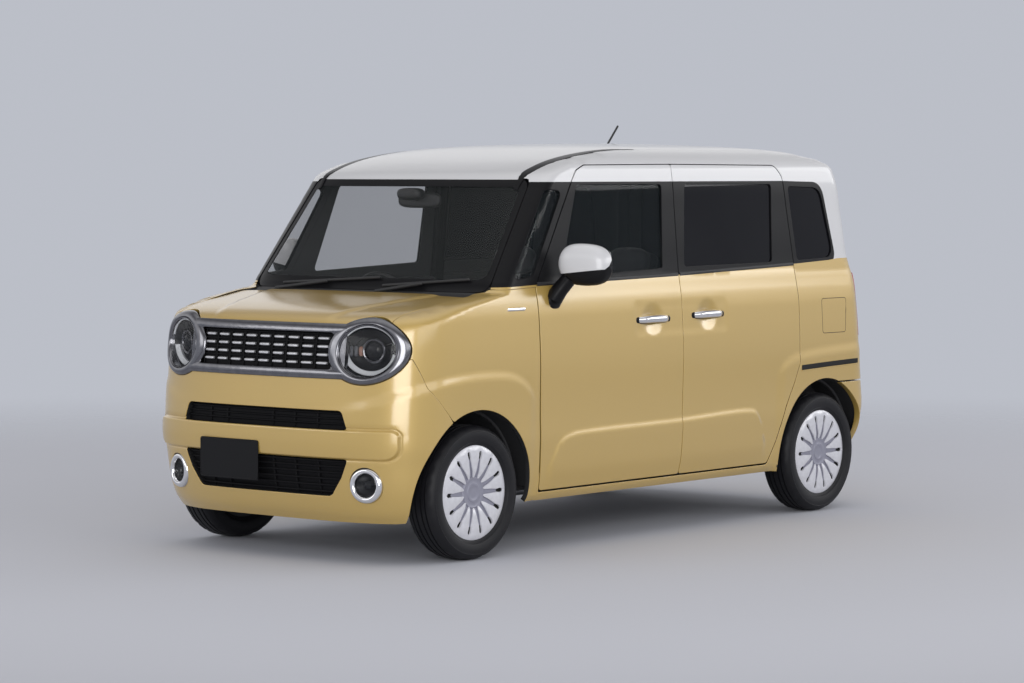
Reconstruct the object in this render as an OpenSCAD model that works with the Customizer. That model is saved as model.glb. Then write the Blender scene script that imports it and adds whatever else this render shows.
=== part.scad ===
// Tall-bodied kei-class city car as an assembly of separate pieces.
// Millimetres. The front faces -Y, the car's left side is +X, the ground is z = 0.

/* [Overall] */
// Overall length, number plate to rear bumper
car_l = 3395; // [3300:5:3400]
// Body width without the mirrors
car_w = 1475; // [1460:1:1480]
// Distance between the axles
wheelbase = 2460; // [2440:5:2470]
// Front bumper to front axle
front_overhang = 515; // [505:1:525]

/* [Wheels] */
// Tyre radius, also the height of the wheel centres
wheel_r = 274; // [268:1:278]
// Tyre section width
tyre_w = 155; // [145:1:160]
// Wheel centre plane, from the middle of the car
wheel_x = 647; // [642:1:650]
// Outer radius of the wheel cover
cover_r = 198; // [194:1:200]
// Number of petals on a wheel cover
petals = 14; // [10:1:18]
// Radius of a wheel spindle
spindle_r = 20; // [16:1:24]
// Radius of the front wheel arch
front_arch_r = 338; // [334:1:342]
// Radius of the rear wheel arch
rear_arch_r = 344; // [338:1:348]
// Steering axis, from the middle of the car
king_x = 600; // [596:1:606]

/* [Panels] */
// Thickness of a door or a body side
side_t = 70; // [60:1:76]
// Thickness of the front and rear panels
end_t = 45; // [36:1:50]
// Thickness of the roof and the hood
top_t = 28; // [22:1:32]
// Gap round a panel that opens
move_gap = 7; // [6:0.5:8]
// Gap between fixed pieces
fit_gap = 0.3; // [0.2:0.05:0.4]
// Depth of the glass below the body surface
glass_in = 5; // [3:1:7]
// Glass thickness
glass_t = 6; // [4:1:7]

/* [Front end] */
// Headlamp ring centre, sideways
lamp_x = 513; // [510:1:518]
// Headlamp ring centre height
lamp_z = 857; // [850:1:862]
// Headlamp ring half width
lamp_rx = 168; // [162:1:172]
// Headlamp ring half height
lamp_rz = 134; // [130:1:138]
// Headlamp lens centre, sideways
lens_x = 520; // [514:1:524]
// Headlamp lens half width
lens_rx = 119; // [112:1:124]
// Headlamp lens half height
lens_rz = 104; // [98:1:108]
// Headlamp ring height above the body surface
lamp_out = 9; // [6:1:10]
// Grille frame half width
grille_hw = 430; // [420:1:440]
// Grille frame bottom
grille_z0 = 746; // [740:1:752]
// Grille frame top
grille_z1 = 962; // [955:1:966]
// Rows of grille bars
grille_rows = 4; // [3:1:5]
// Bars in a grille row
grille_cols = 9; // [7:1:11]
// Fog lamp centre, sideways
fog_x = 526; // [518:1:532]
// Fog lamp centre height
fog_z = 325; // [318:1:332]
// Turn of the fog lamps outwards, in degrees
fog_yaw = 15; // [10:1:18]
// Fog lamp bezel radius
fog_r = 73; // [66:1:76]
// Number plate width
plate_w = 330; // [320:1:335]
// Number plate height
plate_h = 165; // [160:1:170]
// Number plate thickness
plate_t = 2.2; // [1.5:0.1:3]

/* [Cabin] */
// Top of the cabin floor
floor_z = 320; // [310:1:330]
// Front seat centre, sideways
seat_x = 330; // [320:1:340]
// Steering wheel radius
swheel_r = 182; // [175:1:190]
// Tilt of the steering column, in degrees
column_tilt = 28; // [24:1:32]

/* [Hidden] */

front_tip = -car_l / 2 + plate_t + fit_gap;
rear_tip = car_l / 2;
half_w = car_w / 2;
axle_f = -car_l / 2 + front_overhang;
axle_r = axle_f + wheelbase;
big = 4000;

// Shape exponents of the plan curve at the front and the rear
FRONT_N = 3;
REAR_N = 4.5;
// Segments of the plan curve at the front and the rear
FRONT_SEGS = 20;
REAR_SEGS = 16;

// Body sections. Columns: height, side inset, front setback, front corner depth,
// rear setback, rear corner depth
Z = 0;
SIDE = 1;
FRONT = 2;
FRONT_D = 3;
REAR = 4;
REAR_D = 5;
SECTIONS = [
    [170, 45, 75, 320, 70, 190],
    [215, 30, 45, 330, 52, 195],
    [300, 14, 22, 340, 36, 200],
    [400, 5, 8, 350, 16, 205],
    [490, 0, 0, 350, 0, 210],
    [560, 0, 2, 350, 8, 210],
    [700, 0, 13, 345, 32, 205],
    [850, 3, 29, 335, 46, 200],
    [940, 7, 46, 325, 56, 195],
    [975, 9, 66, 315, 60, 193],
    [998, 11, 120, 300, 62, 190],
    [1020, 13, 220, 275, 64, 188],
    [1042, 15, 370, 235, 66, 186],
    [1060, 17, 500, 185, 68, 184],
    [1070, 18, 592, 145, 70, 182],
    [1120, 22, 632, 142, 85, 180],
    [1180, 28, 678, 140, 107, 178],
    [1250, 34, 733, 138, 117, 175],
    [1400, 47, 850, 134, 139, 170],
    [1500, 55, 928, 132, 154, 166],
    [1552, 61, 970, 135, 172, 165],
    [1590, 67, 1060, 150, 192, 165],
    [1620, 85, 1165, 175, 250, 180],
    [1650, 130, 1320, 220, 370, 220],
    [1675, 215, 1500, 270, 560, 280],
    [1690, 380, 1720, 330, 830, 320],
    [1695, 540, 1950, 120, 1090, 120],
];

// Sections moved inwards by a side, an end and a top thickness
function inset_sections(side, end, top) = [for (s = SECTIONS)
    [s[Z] - top, s[SIDE] + side, s[FRONT] + end, s[FRONT_D], s[REAR] + end, s[REAR_D]]];

function sgn_pow(v, p) = sign(v) * pow(abs(v), p);

// Plan curve of one section, front corner to front corner and round the rear
function ring(s) = let (hw = half_w - s[SIDE],
    yf = front_tip + s[FRONT] + s[FRONT_D],
    yr = rear_tip - s[REAR] - s[REAR_D])
    concat(
        [for (i = [0 : FRONT_SEGS]) let (a = 180 - 180 * i / FRONT_SEGS)
            [hw * sgn_pow(cos(a), 2 / FRONT_N), yf - s[FRONT_D] * sgn_pow(sin(a), 2 / FRONT_N), s[Z]]],
        [for (i = [0 : REAR_SEGS]) let (a = 180 * i / REAR_SEGS)
            [hw * sgn_pow(cos(a), 2 / REAR_N), yr + s[REAR_D] * sgn_pow(sin(a), 2 / REAR_N), s[Z]]]);

// Section values at any height
function row_below(z, i = 0) = i >= len(SECTIONS) - 2 || SECTIONS[i + 1][Z] > z ? i : row_below(z, i + 1);
function section_at(z) = let (i = row_below(z), a = SECTIONS[i], b = SECTIONS[i + 1],
    t = (z - a[Z]) / (b[Z] - a[Z])) a + (b - a) * t;
function side_x(z) = half_w - section_at(z)[SIDE];
function front_y(x, z) = let (s = section_at(z), u = min(abs(x) / (half_w - s[SIDE]), 1))
    front_tip + s[FRONT] + s[FRONT_D] * (1 - pow(1 - pow(u, FRONT_N), 1 / FRONT_N));

// Side outlines, as points along and up
FRONT_DOOR = [[-780, 250], [-797, 700], [-800, 1094], [-521, 1523], [-480, 1575], [-420, 1598],
    [185, 1602], [185, 250]];
REAR_DOOR = [[185, 250], [185, 1602], [965, 1598], [1016, 1545], [1062, 1160], [1071, 1000],
    [1071, 700], [1030, 610], [965, 500], [905, 350], [850, 250]];
FRONT_WINDOW = [[-634, 1122], [75, 1152], [108, 1519], [-485, 1519]];
REAR_WINDOW = [[225, 1153], [895, 1158], [930, 1515], [267, 1519]];
QUARTER_WINDOW = [[1090, 1162], [1400, 1170], [1306, 1494], [1048, 1504]];
PILLAR_WINDOW = [[-951, 1121], [-806, 1137], [-577, 1494], [-688, 1500]];
// Front outlines, as points across and up, right half mirrored
WINDSHIELD = [[-662, 1078], [662, 1078], [602, 1540], [-602, 1540]];
UPPER_SLOT = [[-452, 550], [452, 550], [430, 620], [-430, 620]];
LOWER_INTAKE = [[-360, 273], [360, 273], [462, 410], [462, 456], [-462, 456], [-462, 410]];
// Rear outlines
TAILGATE = [[-585, 600], [585, 600], [592, 1105], [650, 1125], [600, 1588], [-600, 1588],
    [-650, 1125], [-592, 1105]];
REAR_GLASS = [[-545, 1150], [545, 1150], [510, 1500], [-510, 1500]];
// Hood seam in plan
HOOD_PLAN = [[-600, -1750], [600, -1750], [605, -1500], [640, -1139], [-640, -1139], [-605, -1500]];
// Corner radius of the window openings
window_r = 38;

// Hinge axes
hood_axis = [-1108, 1050];
gate_axis = [1420, 1575];
gate_hinge_x = 430;
gate_arm_z = 1506;
door_axis = [708, -712];
hinge_pin_r = 6;
hood_hinge_x = 560;
// Depth of the headlamps behind the body surface, and how far back their openings reach
lamp_depth = 40;
lamp_back_y = -1420;
lamp_hood_y = -1500;
door_hinge_z = [450, 930];
// Reach of the front door ahead of its hinge axis
door_swing_r = door_axis[1] + 800 - move_gap / 2;
hinge_post_x = door_axis[0] - door_swing_r - move_gap;
hinge_post_t = 32;
dash_hw = hinge_post_x - hinge_post_t - fit_gap;

seam_y = 185;
roof_seam_x = 555;
roof_end_y = 1470;
gate_front_y = 1483;
cowl_y = -1085;
bumper_top = 745;
bumper_corner = 826;
rear_bumper_top = 592;
sill_x = 640;
sill_z = 208;
wall_x = 405;
rear_wall_x = 545;
liner_t = 8;
front_liner_r = front_arch_r - 10;
rear_liner_r = rear_arch_r - 10;
firewall_y = -965;
floor_t = 70;
kick_y = 1005;
kick_z = 420;
rail_x = 330;
rail_y = -1588;
jack_y = [-640, 760];
tow_x = 365;
tow_z = 340;
tow_r = 8.5;
tow_depth = 70;
// Radial clearance of a turning pin
run_gap = 0.1;

// Solid between all the sections of a list
module stack(rows) {
    for (i = [0 : len(rows) - 2]) {
        a = ring(rows[i]);
        b = ring(rows[i + 1]);
        hull() polyhedron(points = concat(a, b), faces = [[for (k = [0 : len(a) - 1]) k],
            [for (k = [0 : len(b) - 1]) len(a) + k]]);
    }
}
module outer() { stack(SECTIONS); }
module shell(side = side_t, end = end_t, top = top_t) {
    difference() {
        outer();
        stack(inset_sections(side, end, top));
    }
}
// Skin of glass below the body surface
module glass_skin() {
    difference() {
        stack(inset_sections(glass_in, glass_in, glass_in));
        stack(inset_sections(glass_in + glass_t, glass_in + glass_t, glass_in + glass_t));
    }
}
module rounded(r) { offset(r = r) offset(delta = -r) children(); }
// Outline along Y and Z, drawn out across the car from x0 to x1
module across(x0, x1) { translate([x0, 0, 0]) rotate([90, 0, 90]) linear_extrude(x1 - x0) children(); }
// Outline along X and Z, drawn out along the car from y0 to y1
module along(y0, y1) { translate([0, y1, 0]) rotate([90, 0, 0]) linear_extrude(y1 - y0) children(); }
module block(x0, x1, y0, y1, z0, z1) { translate([x0, y0, z0]) cube([x1 - x0, y1 - y0, z1 - z0]); }
module rod_x(x0, x1, y, z, r) { translate([x0, y, z]) rotate([0, 90, 0]) cylinder(h = x1 - x0, r = r, $fn = 32); }
module rod_y(y0, y1, x, z, r) { translate([x, y0, z]) rotate([-90, 0, 0]) cylinder(h = y1 - y0, r = r, $fn = 32); }
module rod_z(z0, z1, x, y, r) { translate([x, y, z0]) cylinder(h = z1 - z0, r = r, $fn = 32); }
module both_sides() {
    children();
    mirror([1, 0, 0]) children();
}
module link(a, b, r) {
    hull() {
        translate(a) sphere(r, $fn = 14);
        translate(b) sphere(r, $fn = 14);
    }
}

// Zones that the panels are cut from
module door_zone(outline, grow) { across(120, big) offset(delta = grow) polygon(outline); }
module window_zone(outline, grow) { across(120, big) offset(delta = grow) rounded(window_r) polygon(outline); }
module windshield_zone(grow) { along(-1300, -480) offset(delta = grow) rounded(50) polygon(WINDSHIELD); }
module arch_zone(y, r) { rod_x(-big / 2, big / 2, y, wheel_r, r); }
module hood_zone(grow) {
    translate([0, 0, grille_z1 + move_gap / 2 - grow]) linear_extrude(big) offset(delta = grow) polygon(HOOD_PLAN);
}
module oval(x, rx, rz) { translate([x, lamp_z]) scale([rx, rz]) circle(1, $fn = 56); }
module lamp_zone(grow, back = lamp_back_y) { both_sides() along(-2000, back) offset(delta = grow) oval(lamp_x, lamp_rx, lamp_rz); }
module fog_place() {
    translate([fog_x, front_y(fog_x, fog_z), fog_z]) rotate([0, 0, fog_yaw]) rotate([90, 0, 0]) children();
}
module fog_zone(grow) { both_sides() fog_place() translate([0, 0, -90]) cylinder(h = 200, r = fog_r + grow, $fn = 40); }
module grille_zone(grow) {
    along(-2000, -1500) offset(delta = grow)
        polygon([[-grille_hw, grille_z0], [grille_hw, grille_z0], [grille_hw, grille_z1], [-grille_hw, grille_z1]]);
}
// Bumper below the lamps and in front of the seam to the wheel arch
module front_bumper_zone(grow) {
    intersection() {
        along(-big, big) offset(delta = grow) polygon([[-900, 100], [900, 100], [900, bumper_corner],
            [lamp_x - 36, bumper_corner], [lamp_x - 36, bumper_top], [-lamp_x + 36, bumper_top],
            [-lamp_x + 36, bumper_corner], [-900, bumper_corner]]);
        across(-big, big) offset(delta = grow)
            polygon([[-1900, 100], [axle_f, 100], [axle_f, 400], [-1474, 707], [-1526, bumper_corner], [-1900, bumper_corner]]);
    }
}
module rear_bumper_zone(grow) { block(-big, big, axle_r, 2000, 0, rear_bumper_top + grow); }
module tailgate_zone(grow) { along(1350, 2000) offset(delta = grow) polygon(TAILGATE); }
module tail_lamp_zone(grow) {
    both_sides() along(1560, 2000) offset(delta = grow) polygon([[600, 806], [900, 806], [900, 1092], [607, 1092]]);
}
// Room above the tailgate's top edge, which swings up past the roof
module gate_top_zone() { block(-607, 607, roof_end_y, 2000, 1560, 2000); }
module roof_zone(grow) {
    translate([0, 0, 1500]) linear_extrude(big) offset(delta = grow)
        polygon([[-roof_seam_x, -800], [roof_seam_x, -800], [roof_seam_x, 1600], [-roof_seam_x, 1600]]);
}
module cowl_zone(grow) { block(-640 - grow, 640 + grow, -1136, cowl_y, 1000, 1077.7); }
// Seam between the front wing and the body side
module wing_zone(grow) { across(-big, big) offset(delta = grow) polygon([[-2000, 0], [-785, 0], [-785, 1096], [-1000, 1086], [-2000, 1086]]); }

// Body
module wheel_liner(y, r, x0, x1) {
    difference() {
        rod_x(x0 - liner_t, x1, y, wheel_r, r + liner_t);
        rod_x(x0, x1 + 1, y, wheel_r, r);
        block(0, big, y - 500, y + 500, -500, wheel_r - 20);
        block(0, x0 + 1, y - 60, y + 60, 0, wheel_r + 60);
    }
}
module floor_pan() {
    color("dimgray") difference() {
        union() {
            block(-sill_x + fit_gap, sill_x - fit_gap, -880, kick_y, floor_z - floor_t, floor_z);
            block(-sill_x + fit_gap, sill_x - fit_gap, kick_y - 20, 1580, kick_z - 40, kick_z);
            block(-sill_x + fit_gap, sill_x - fit_gap, kick_y - 20, kick_y, floor_z - floor_t, kick_z);
            block(-wall_x - 30, wall_x + 30, firewall_y - 20, firewall_y, floor_z - floor_t, 1000);
            block(-wall_x - 30, wall_x + 30, firewall_y - 20, -870, floor_z - floor_t, floor_z);
            both_sides() block(rail_x, wall_x - liner_t - fit_gap, rail_y, firewall_y, 300, 380);
            block(-rail_x - 10, rail_x + 10, rail_y, rail_y + 50, 300, 380);
            both_sides() block(hinge_post_x - hinge_post_t, hinge_post_x, door_axis[1] - 48, door_axis[1] + 22, floor_z, 1000);
            both_sides() for (y = jack_y) block(585, 630, y - 40, y + 40, sill_z, floor_z);
            both_sides() for (z = door_hinge_z) {
                block(hinge_post_x - 10, door_axis[0], door_axis[1] - 9, door_axis[1] + 9, z - 16, z + 16);
                rod_z(z - 16, z + 16, door_axis[0], door_axis[1], 13);
            }
        }
        both_sides() rod_z(floor_z, 1000, door_axis[0], door_axis[1], hinge_pin_r + run_gap);
        both_sides() rod_z(0, floor_z + 1, door_axis[0], door_axis[1], door_swing_r + move_gap - fit_gap);
        both_sides() rod_x(wall_x - liner_t, 900, axle_f, wheel_r, front_liner_r + liner_t + fit_gap);
        both_sides() rod_x(rear_wall_x - liner_t - fit_gap, 900, axle_r, wheel_r, rear_liner_r + liner_t + fit_gap);
        rod_y(rail_y - 10, rail_y + tow_depth, tow_x, tow_z, tow_r);
    }
}
module wheel_liners() {
    color("black") both_sides() {
        wheel_liner(axle_f, front_liner_r, wall_x, sill_x - fit_gap);
        wheel_liner(axle_r, rear_liner_r, rear_wall_x, sill_x - fit_gap);
    }
}
module side_frames() {
    color("ivory") difference() {
        union() {
            intersection() {
                shell();
                block(-big, big, -1300, 2000, sill_z, big);
            }
            both_sides() block(sill_x, 690, -840, 925, sill_z + 6, 345);
        }
        both_sides() door_zone(FRONT_DOOR, move_gap / 2);
        both_sides() door_zone(REAR_DOOR, fit_gap);
        both_sides() window_zone(QUARTER_WINDOW, 0);
        both_sides() window_zone(PILLAR_WINDOW, 0);
        windshield_zone(0);
        wing_zone(fit_gap);
        roof_zone(fit_gap);
        rear_bumper_zone(fit_gap);
        tailgate_zone(move_gap);
        gate_top_zone();
        tail_lamp_zone(fit_gap);
        arch_zone(axle_r, rear_arch_r);
        arch_zone(axle_f, front_arch_r);
        block(-620, 620, 1000, 2000, 0, rear_bumper_top + 10);
    }
}
module roof_panel() {
    color("white") {
        difference() {
            intersection() {
                shell();
                roof_zone(0);
            }
            windshield_zone(0);
            tailgate_zone(move_gap);
            gate_top_zone();
        }
        both_sides() {
            block(gate_hinge_x + 10, gate_hinge_x + 24, gate_axis[0] - 14, gate_axis[0] + 14,
                gate_axis[1] - 14, gate_axis[1] + 32);
            rod_x(gate_hinge_x - 12, gate_hinge_x + 20, gate_axis[0], gate_axis[1], hinge_pin_r);
        }
    }
}
module cowl() {
    color("black") {
        difference() {
            intersection() {
                shell(40, 40, 40);
                cowl_zone(0);
            }
            windshield_zone(0);
            both_sides() block(hood_hinge_x - 14, hood_hinge_x + 14, -1160, -1090, 990, 1100);
        }
        both_sides() rod_x(hood_hinge_x - 16, hood_hinge_x + 16, hood_axis[0], hood_axis[1], hinge_pin_r);
    }
}
module fenders() {
    color("darkkhaki") difference() {
        intersection() {
            shell(40, 40, 26);
            wing_zone(0);
            block(-big, big, -2000, -700, 255, big);
        }
        block(-560, 560, -2000, -700, 0, big);
        hood_zone(move_gap / 2);
        cowl_zone(fit_gap);
        windshield_zone(0);
        front_bumper_zone(fit_gap);
        lamp_zone(fit_gap);
        arch_zone(axle_f, front_arch_r);
        both_sides() door_zone(FRONT_DOOR, move_gap / 2);
    }
}
module front_bumper() {
    color("darkkhaki") difference() {
        intersection() {
            shell();
            front_bumper_zone(0);
        }
        along(-2000, -1400) rounded(20) polygon(UPPER_SLOT);
        along(-2000, -1400) rounded(20) polygon(LOWER_INTAKE);
        fog_zone(fit_gap);
        lamp_zone(fit_gap);
        grille_zone(fit_gap);
        arch_zone(axle_f, front_arch_r);
        both_sides() rod_x(wall_x, big, axle_f, wheel_r, front_arch_r);
    }
}
module rear_bumper() {
    color("darkkhaki") difference() {
        intersection() {
            shell();
            rear_bumper_zone(0);
        }
        tailgate_zone(move_gap);
        arch_zone(axle_r, rear_arch_r);
    }
}
module hood() {
    color("darkkhaki") {
        difference() {
            intersection() {
                shell(40, 34, 26);
                hood_zone(-move_gap / 2);
            }
            lamp_zone(move_gap, lamp_hood_y);
            grille_zone(move_gap);
        }
        both_sides() difference() {
            block(hood_hinge_x - 8, hood_hinge_x + 8, -1180, hood_axis[0] + 10, hood_axis[1] - 10, hood_axis[1] + 6);
            rod_x(0, big, hood_axis[0], hood_axis[1], hinge_pin_r + run_gap);
        }
    }
}
module tailgate() {
    color("darkkhaki") {
        difference() {
            intersection() {
                shell(60, 60, 30);
                tailgate_zone(0);
            }
            along(1300, 2000) rounded(window_r) polygon(REAR_GLASS);
            block(-big, big, 1000, gate_front_y, 0, big);
        }
        both_sides() difference() {
            union() {
                block(gate_hinge_x - 8, gate_hinge_x + 8, gate_axis[0] - 12, gate_axis[0] + 12,
                    gate_arm_z - 10, gate_axis[1] + 12);
                block(gate_hinge_x - 8, gate_hinge_x + 8, gate_axis[0] - 12, gate_front_y + 12,
                    gate_arm_z - 10, gate_arm_z + 10);
            }
            rod_x(0, big, gate_axis[0], gate_axis[1], hinge_pin_r + run_gap);
        }
    }
}
module door_handle(y0, y1, z) {
    x = side_x(z) + 22;
    link([x, y0 + 16, z], [x, y1 - 16, z + 4], 14);
    link([x - 40, y0 + 22, z], [x, y0 + 22, z], 11);
    link([x - 40, y1 - 22, z + 4], [x, y1 - 22, z + 4], 11);
}
module front_door() {
    difference() {
        intersection() {
            shell();
            door_zone(FRONT_DOOR, -move_gap / 2);
            union() {
                rod_z(0, 2000, door_axis[0], door_axis[1], door_swing_r);
                block(roof_seam_x + move_gap, big, door_axis[1], big, 0, 2000);
            }
        }
        window_zone(FRONT_WINDOW, 0);
        for (z = door_hinge_z) block(0, door_axis[0] + 14, -830, door_axis[1] + 18, z - 24, z + 24);
    }
    for (z = door_hinge_z) rod_z(z - 30, z + 30, door_axis[0], door_axis[1], hinge_pin_r);
    door_handle(-132, 101, 938);
}
module front_door_left() { color("darkkhaki") front_door(); }
module front_door_right() { color("darkkhaki") mirror([1, 0, 0]) front_door(); }
module rear_doors() {
    color("darkkhaki") both_sides() {
        difference() {
            intersection() {
                shell();
                door_zone(REAR_DOOR, 0);
                block(0, big, seam_y + move_gap / 2, big, 0, big);
            }
            window_zone(REAR_WINDOW, 0);
            arch_zone(axle_r, rear_arch_r);
        }
        door_handle(260, 497, 944);
    }
}

// Glass
module windshield() {
    color("lightcyan", 0.5) intersection() {
        glass_skin();
        windshield_zone(-fit_gap);
        block(-big, big, -1300, -480, 1000, 1700);
    }
}
module side_pane(outline) {
    intersection() {
        glass_skin();
        window_zone(outline, -fit_gap);
    }
}
module fixed_side_glass() {
    color("darkslategray", 0.6) both_sides() {
        side_pane(REAR_WINDOW);
        side_pane(QUARTER_WINDOW);
        side_pane(PILLAR_WINDOW);
    }
}
module front_glass_left() { color("lightcyan", 0.5) side_pane(FRONT_WINDOW); }
module front_glass_right() { color("lightcyan", 0.5) mirror([1, 0, 0]) side_pane(FRONT_WINDOW); }
module tailgate_glass() {
    color("darkslategray", 0.6) intersection() {
        glass_skin();
        along(1300, 2000) offset(delta = -fit_gap) rounded(window_r) polygon(REAR_GLASS);
    }
}

// Front and rear fittings
grille_border = 34;
module grille_bars() {
    z0 = grille_z0 + grille_border;
    z1 = grille_z1 - grille_border;
    x1 = 350;
    for (r = [0 : grille_rows - 1]) for (c = [0 : grille_cols - 1]) {
        x = -x1 + 2 * x1 * (c + 0.5) / grille_cols;
        z = z0 + (z1 - z0) * (r + 0.5) / grille_rows;
        y = front_y(x, z) + 12;
        block(x - 27, x + 27, y, y + 30, z - 6, z + 6);
    }
}
module grille() {
    color("dimgray") {
        difference() {
            intersection() {
                shell();
                grille_zone(0);
            }
            lamp_zone(fit_gap);
            difference() {
                intersection() {
                    grille_zone(-grille_border);
                    block(-362, 362, -2000, 0, 0, big);
                }
                stack(inset_sections(24, 24, 0));
            }
        }
        grille_bars();
        intersection() {
            difference() {
                stack(inset_sections(30, 30, 0));
                stack(inset_sections(40, 40, 0));
            }
            difference() {
                union() {
                    along(-2000, -1400) offset(delta = -fit_gap) rounded(20) polygon(UPPER_SLOT);
                    along(-2000, -1400) offset(delta = -fit_gap) rounded(20) polygon(LOWER_INTAKE);
                }
                rod_y(-2000, -1400, tow_x, tow_z, 25);
            }
        }
    }
}
module headlamp() {
    difference() {
        intersection() {
            stack(inset_sections(-lamp_out, -lamp_out, 0));
            along(-2000, lamp_back_y) oval(lamp_x, lamp_rx, lamp_rz);
        }
        stack(inset_sections(lamp_depth, lamp_depth, 0));
        intersection() {
            hood_zone(move_gap / 2);
            block(-big, big, lamp_hood_y - move_gap, 0, 0, big);
        }
        difference() {
            along(-2000, lamp_back_y) oval(lens_x, lens_rx, lens_rz);
            stack(inset_sections(-lamp_out / 3, -lamp_out / 3, 0));
        }
    }
}
module headlamps() { color("lightgray") both_sides() headlamp(); }
module fog_lamps() {
    color("silver") both_sides() fog_place() {
        difference() {
            translate([0, 0, -40]) cylinder(h = 48, r = fog_r, $fn = 48);
            translate([0, 0, -6]) cylinder(h = 20, r1 = fog_r - 26, r2 = fog_r - 6, $fn = 48);
        }
        translate([0, 0, -8]) cylinder(h = 8, r = fog_r - 34, $fn = 48);
    }
}
module tail_lamps() {
    color("firebrick") difference() {
        intersection() {
            shell();
            tail_lamp_zone(0);
        }
        tailgate_zone(move_gap);
    }
}
// Housing corners: place, height and radius
MIRROR_HEAD = [[795, -665, 1228, 50], [905, -607, 1222, 44], [803, -655, 1150, 44], [892, -607, 1138, 43]];
MIRROR_ARM = [[776, -668, 1130, 28], [728, -705, 1052, 36], [724, -674, 1038, 37]];
module ball_hull(rows) {
    hull() for (b = rows) translate([b[0], b[1], b[2]]) sphere(b[3], $fn = 16);
}
module mirror_body() {
    ball_hull(MIRROR_HEAD);
    ball_hull(MIRROR_ARM);
}
module mirror_assembly() {
    difference() {
        mirror_body();
        stack(inset_sections(-fit_gap, -fit_gap, 0));
    }
}
module mirror_left() { color("white") mirror_assembly(); }
module mirror_right() { color("white") mirror([1, 0, 0]) mirror_assembly(); }
// Wiper parked along the foot of the windshield, from pivot to blade tip
module wiper(pivot_x, tip_x) {
    p = [pivot_x, front_y(pivot_x, 1074) - 8, 1072];
    m = [lerp(pivot_x, tip_x, 0.5), front_y(lerp(pivot_x, tip_x, 0.5), 1112) - 14, 1108];
    link(p, m, 8);
    for (i = [0 : 3]) {
        x0 = lerp(pivot_x, tip_x, 0.06 + 0.235 * i);
        x1 = lerp(pivot_x, tip_x, 0.06 + 0.235 * (i + 1));
        link([x0, front_y(x0, 1096 + 8 * i) - 8, 1096 + 8 * i],
            [x1, front_y(x1, 1104 + 8 * i) - 8, 1104 + 8 * i], 6.5);
    }
}
function lerp(a, b, t) = a + (b - a) * t;
module wipers() {
    color("black") difference() {
        union() {
            wiper(-480, 90);
            wiper(110, 560);
        }
        stack(inset_sections(-fit_gap, -fit_gap, -fit_gap));
    }
}
antenna_x = -380;
antenna_y = 1060;
module antenna() {
    color("black") difference() {
        union() {
            hull() {
                translate([antenna_x, antenna_y - 20, 1668]) sphere(17, $fn = 20);
                translate([antenna_x, antenna_y + 34, 1662]) sphere(14, $fn = 20);
            }
            link([antenna_x, antenna_y, 1680], [antenna_x, antenna_y + 96, 1785], 5);
        }
        stack(inset_sections(-fit_gap, -fit_gap, -fit_gap));
    }
}
plate_x = -177;
plate_z = 399;
module number_plate() {
    color("black") difference() {
        union() {
            block(plate_x - plate_w / 2, plate_x + plate_w / 2, -car_l / 2, -car_l / 2 + plate_t,
                plate_z - plate_h / 2, plate_z + plate_h / 2);
            block(plate_x - 90, plate_x + 90, -car_l / 2, -car_l / 2 + 20, plate_z + 40, plate_z + 76);
        }
        stack(inset_sections(-fit_gap, -fit_gap, 0));
    }
}

// Cabin
module seat(x, w, y, back_z, head) {
    block(x - w * 0.36, x + w * 0.36, y + 40, y + 420, floor_z + fit_gap, 440);
    block(x - w / 2, x + w / 2, y, y + 500, 430, 590);
    translate([x, y + 430, 560]) rotate([-18, 0, 0]) {
        block(-w / 2, w / 2, -60, 60, 0, back_z);
        if (head) {
            block(-40, 40, -20, 20, back_z, back_z + 60);
            block(-120, 120, -45, 45, back_z + 40, back_z + 190);
        }
    }
}
module front_seats() { color("dimgray") both_sides() seat(seat_x, 480, -330, 520, true); }
module rear_seat() {
    color("dimgray") {
        seat(0, 1060, 540, 500, false);
        both_sides() translate([270, 970, 560]) rotate([-18, 0, 0]) {
            block(-40, 40, -20, 20, 490, 550);
            block(-115, 115, -45, 45, 540, 670);
        }
    }
}
swheel_c = [-seat_x, -520, 960];
column_r = 24;
module column_place() { translate(swheel_c) rotate([column_tilt - 90, 0, 0]) children(); }
module dashboard() {
    color("darkslategray") difference() {
        union() {
            across(-dash_hw, dash_hw) polygon([[firewall_y + fit_gap, 700], [-690, 720], [-640, 820], [-670, 980],
                [-760, 1030], [firewall_y + fit_gap, 1030]]);
            across(-seat_x - 170, -seat_x + 170) polygon([[-760, 1000], [-655, 960], [-680, 1060], [-760, 1060]]);
            block(-90, 90, -700, -560, 620, 790);
        }
        column_place() translate([0, 0, -400]) cylinder(h = 400, r = column_r + run_gap);
    }
}
module steering_wheel() {
    color("black") column_place() {
        rotate_extrude($fn = 64) translate([swheel_r, 0]) circle(15, $fn = 24);
        translate([0, 0, -30]) cylinder(h = 40, r = 62, $fn = 48);
        for (a = [90, 210, 330]) rotate([0, 0, a - 90]) translate([0, -16, -14]) cube([swheel_r - 6, 32, 14]);
        translate([0, 0, -190]) cylinder(h = 170, r = column_r, $fn = 32);
    }
}

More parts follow.
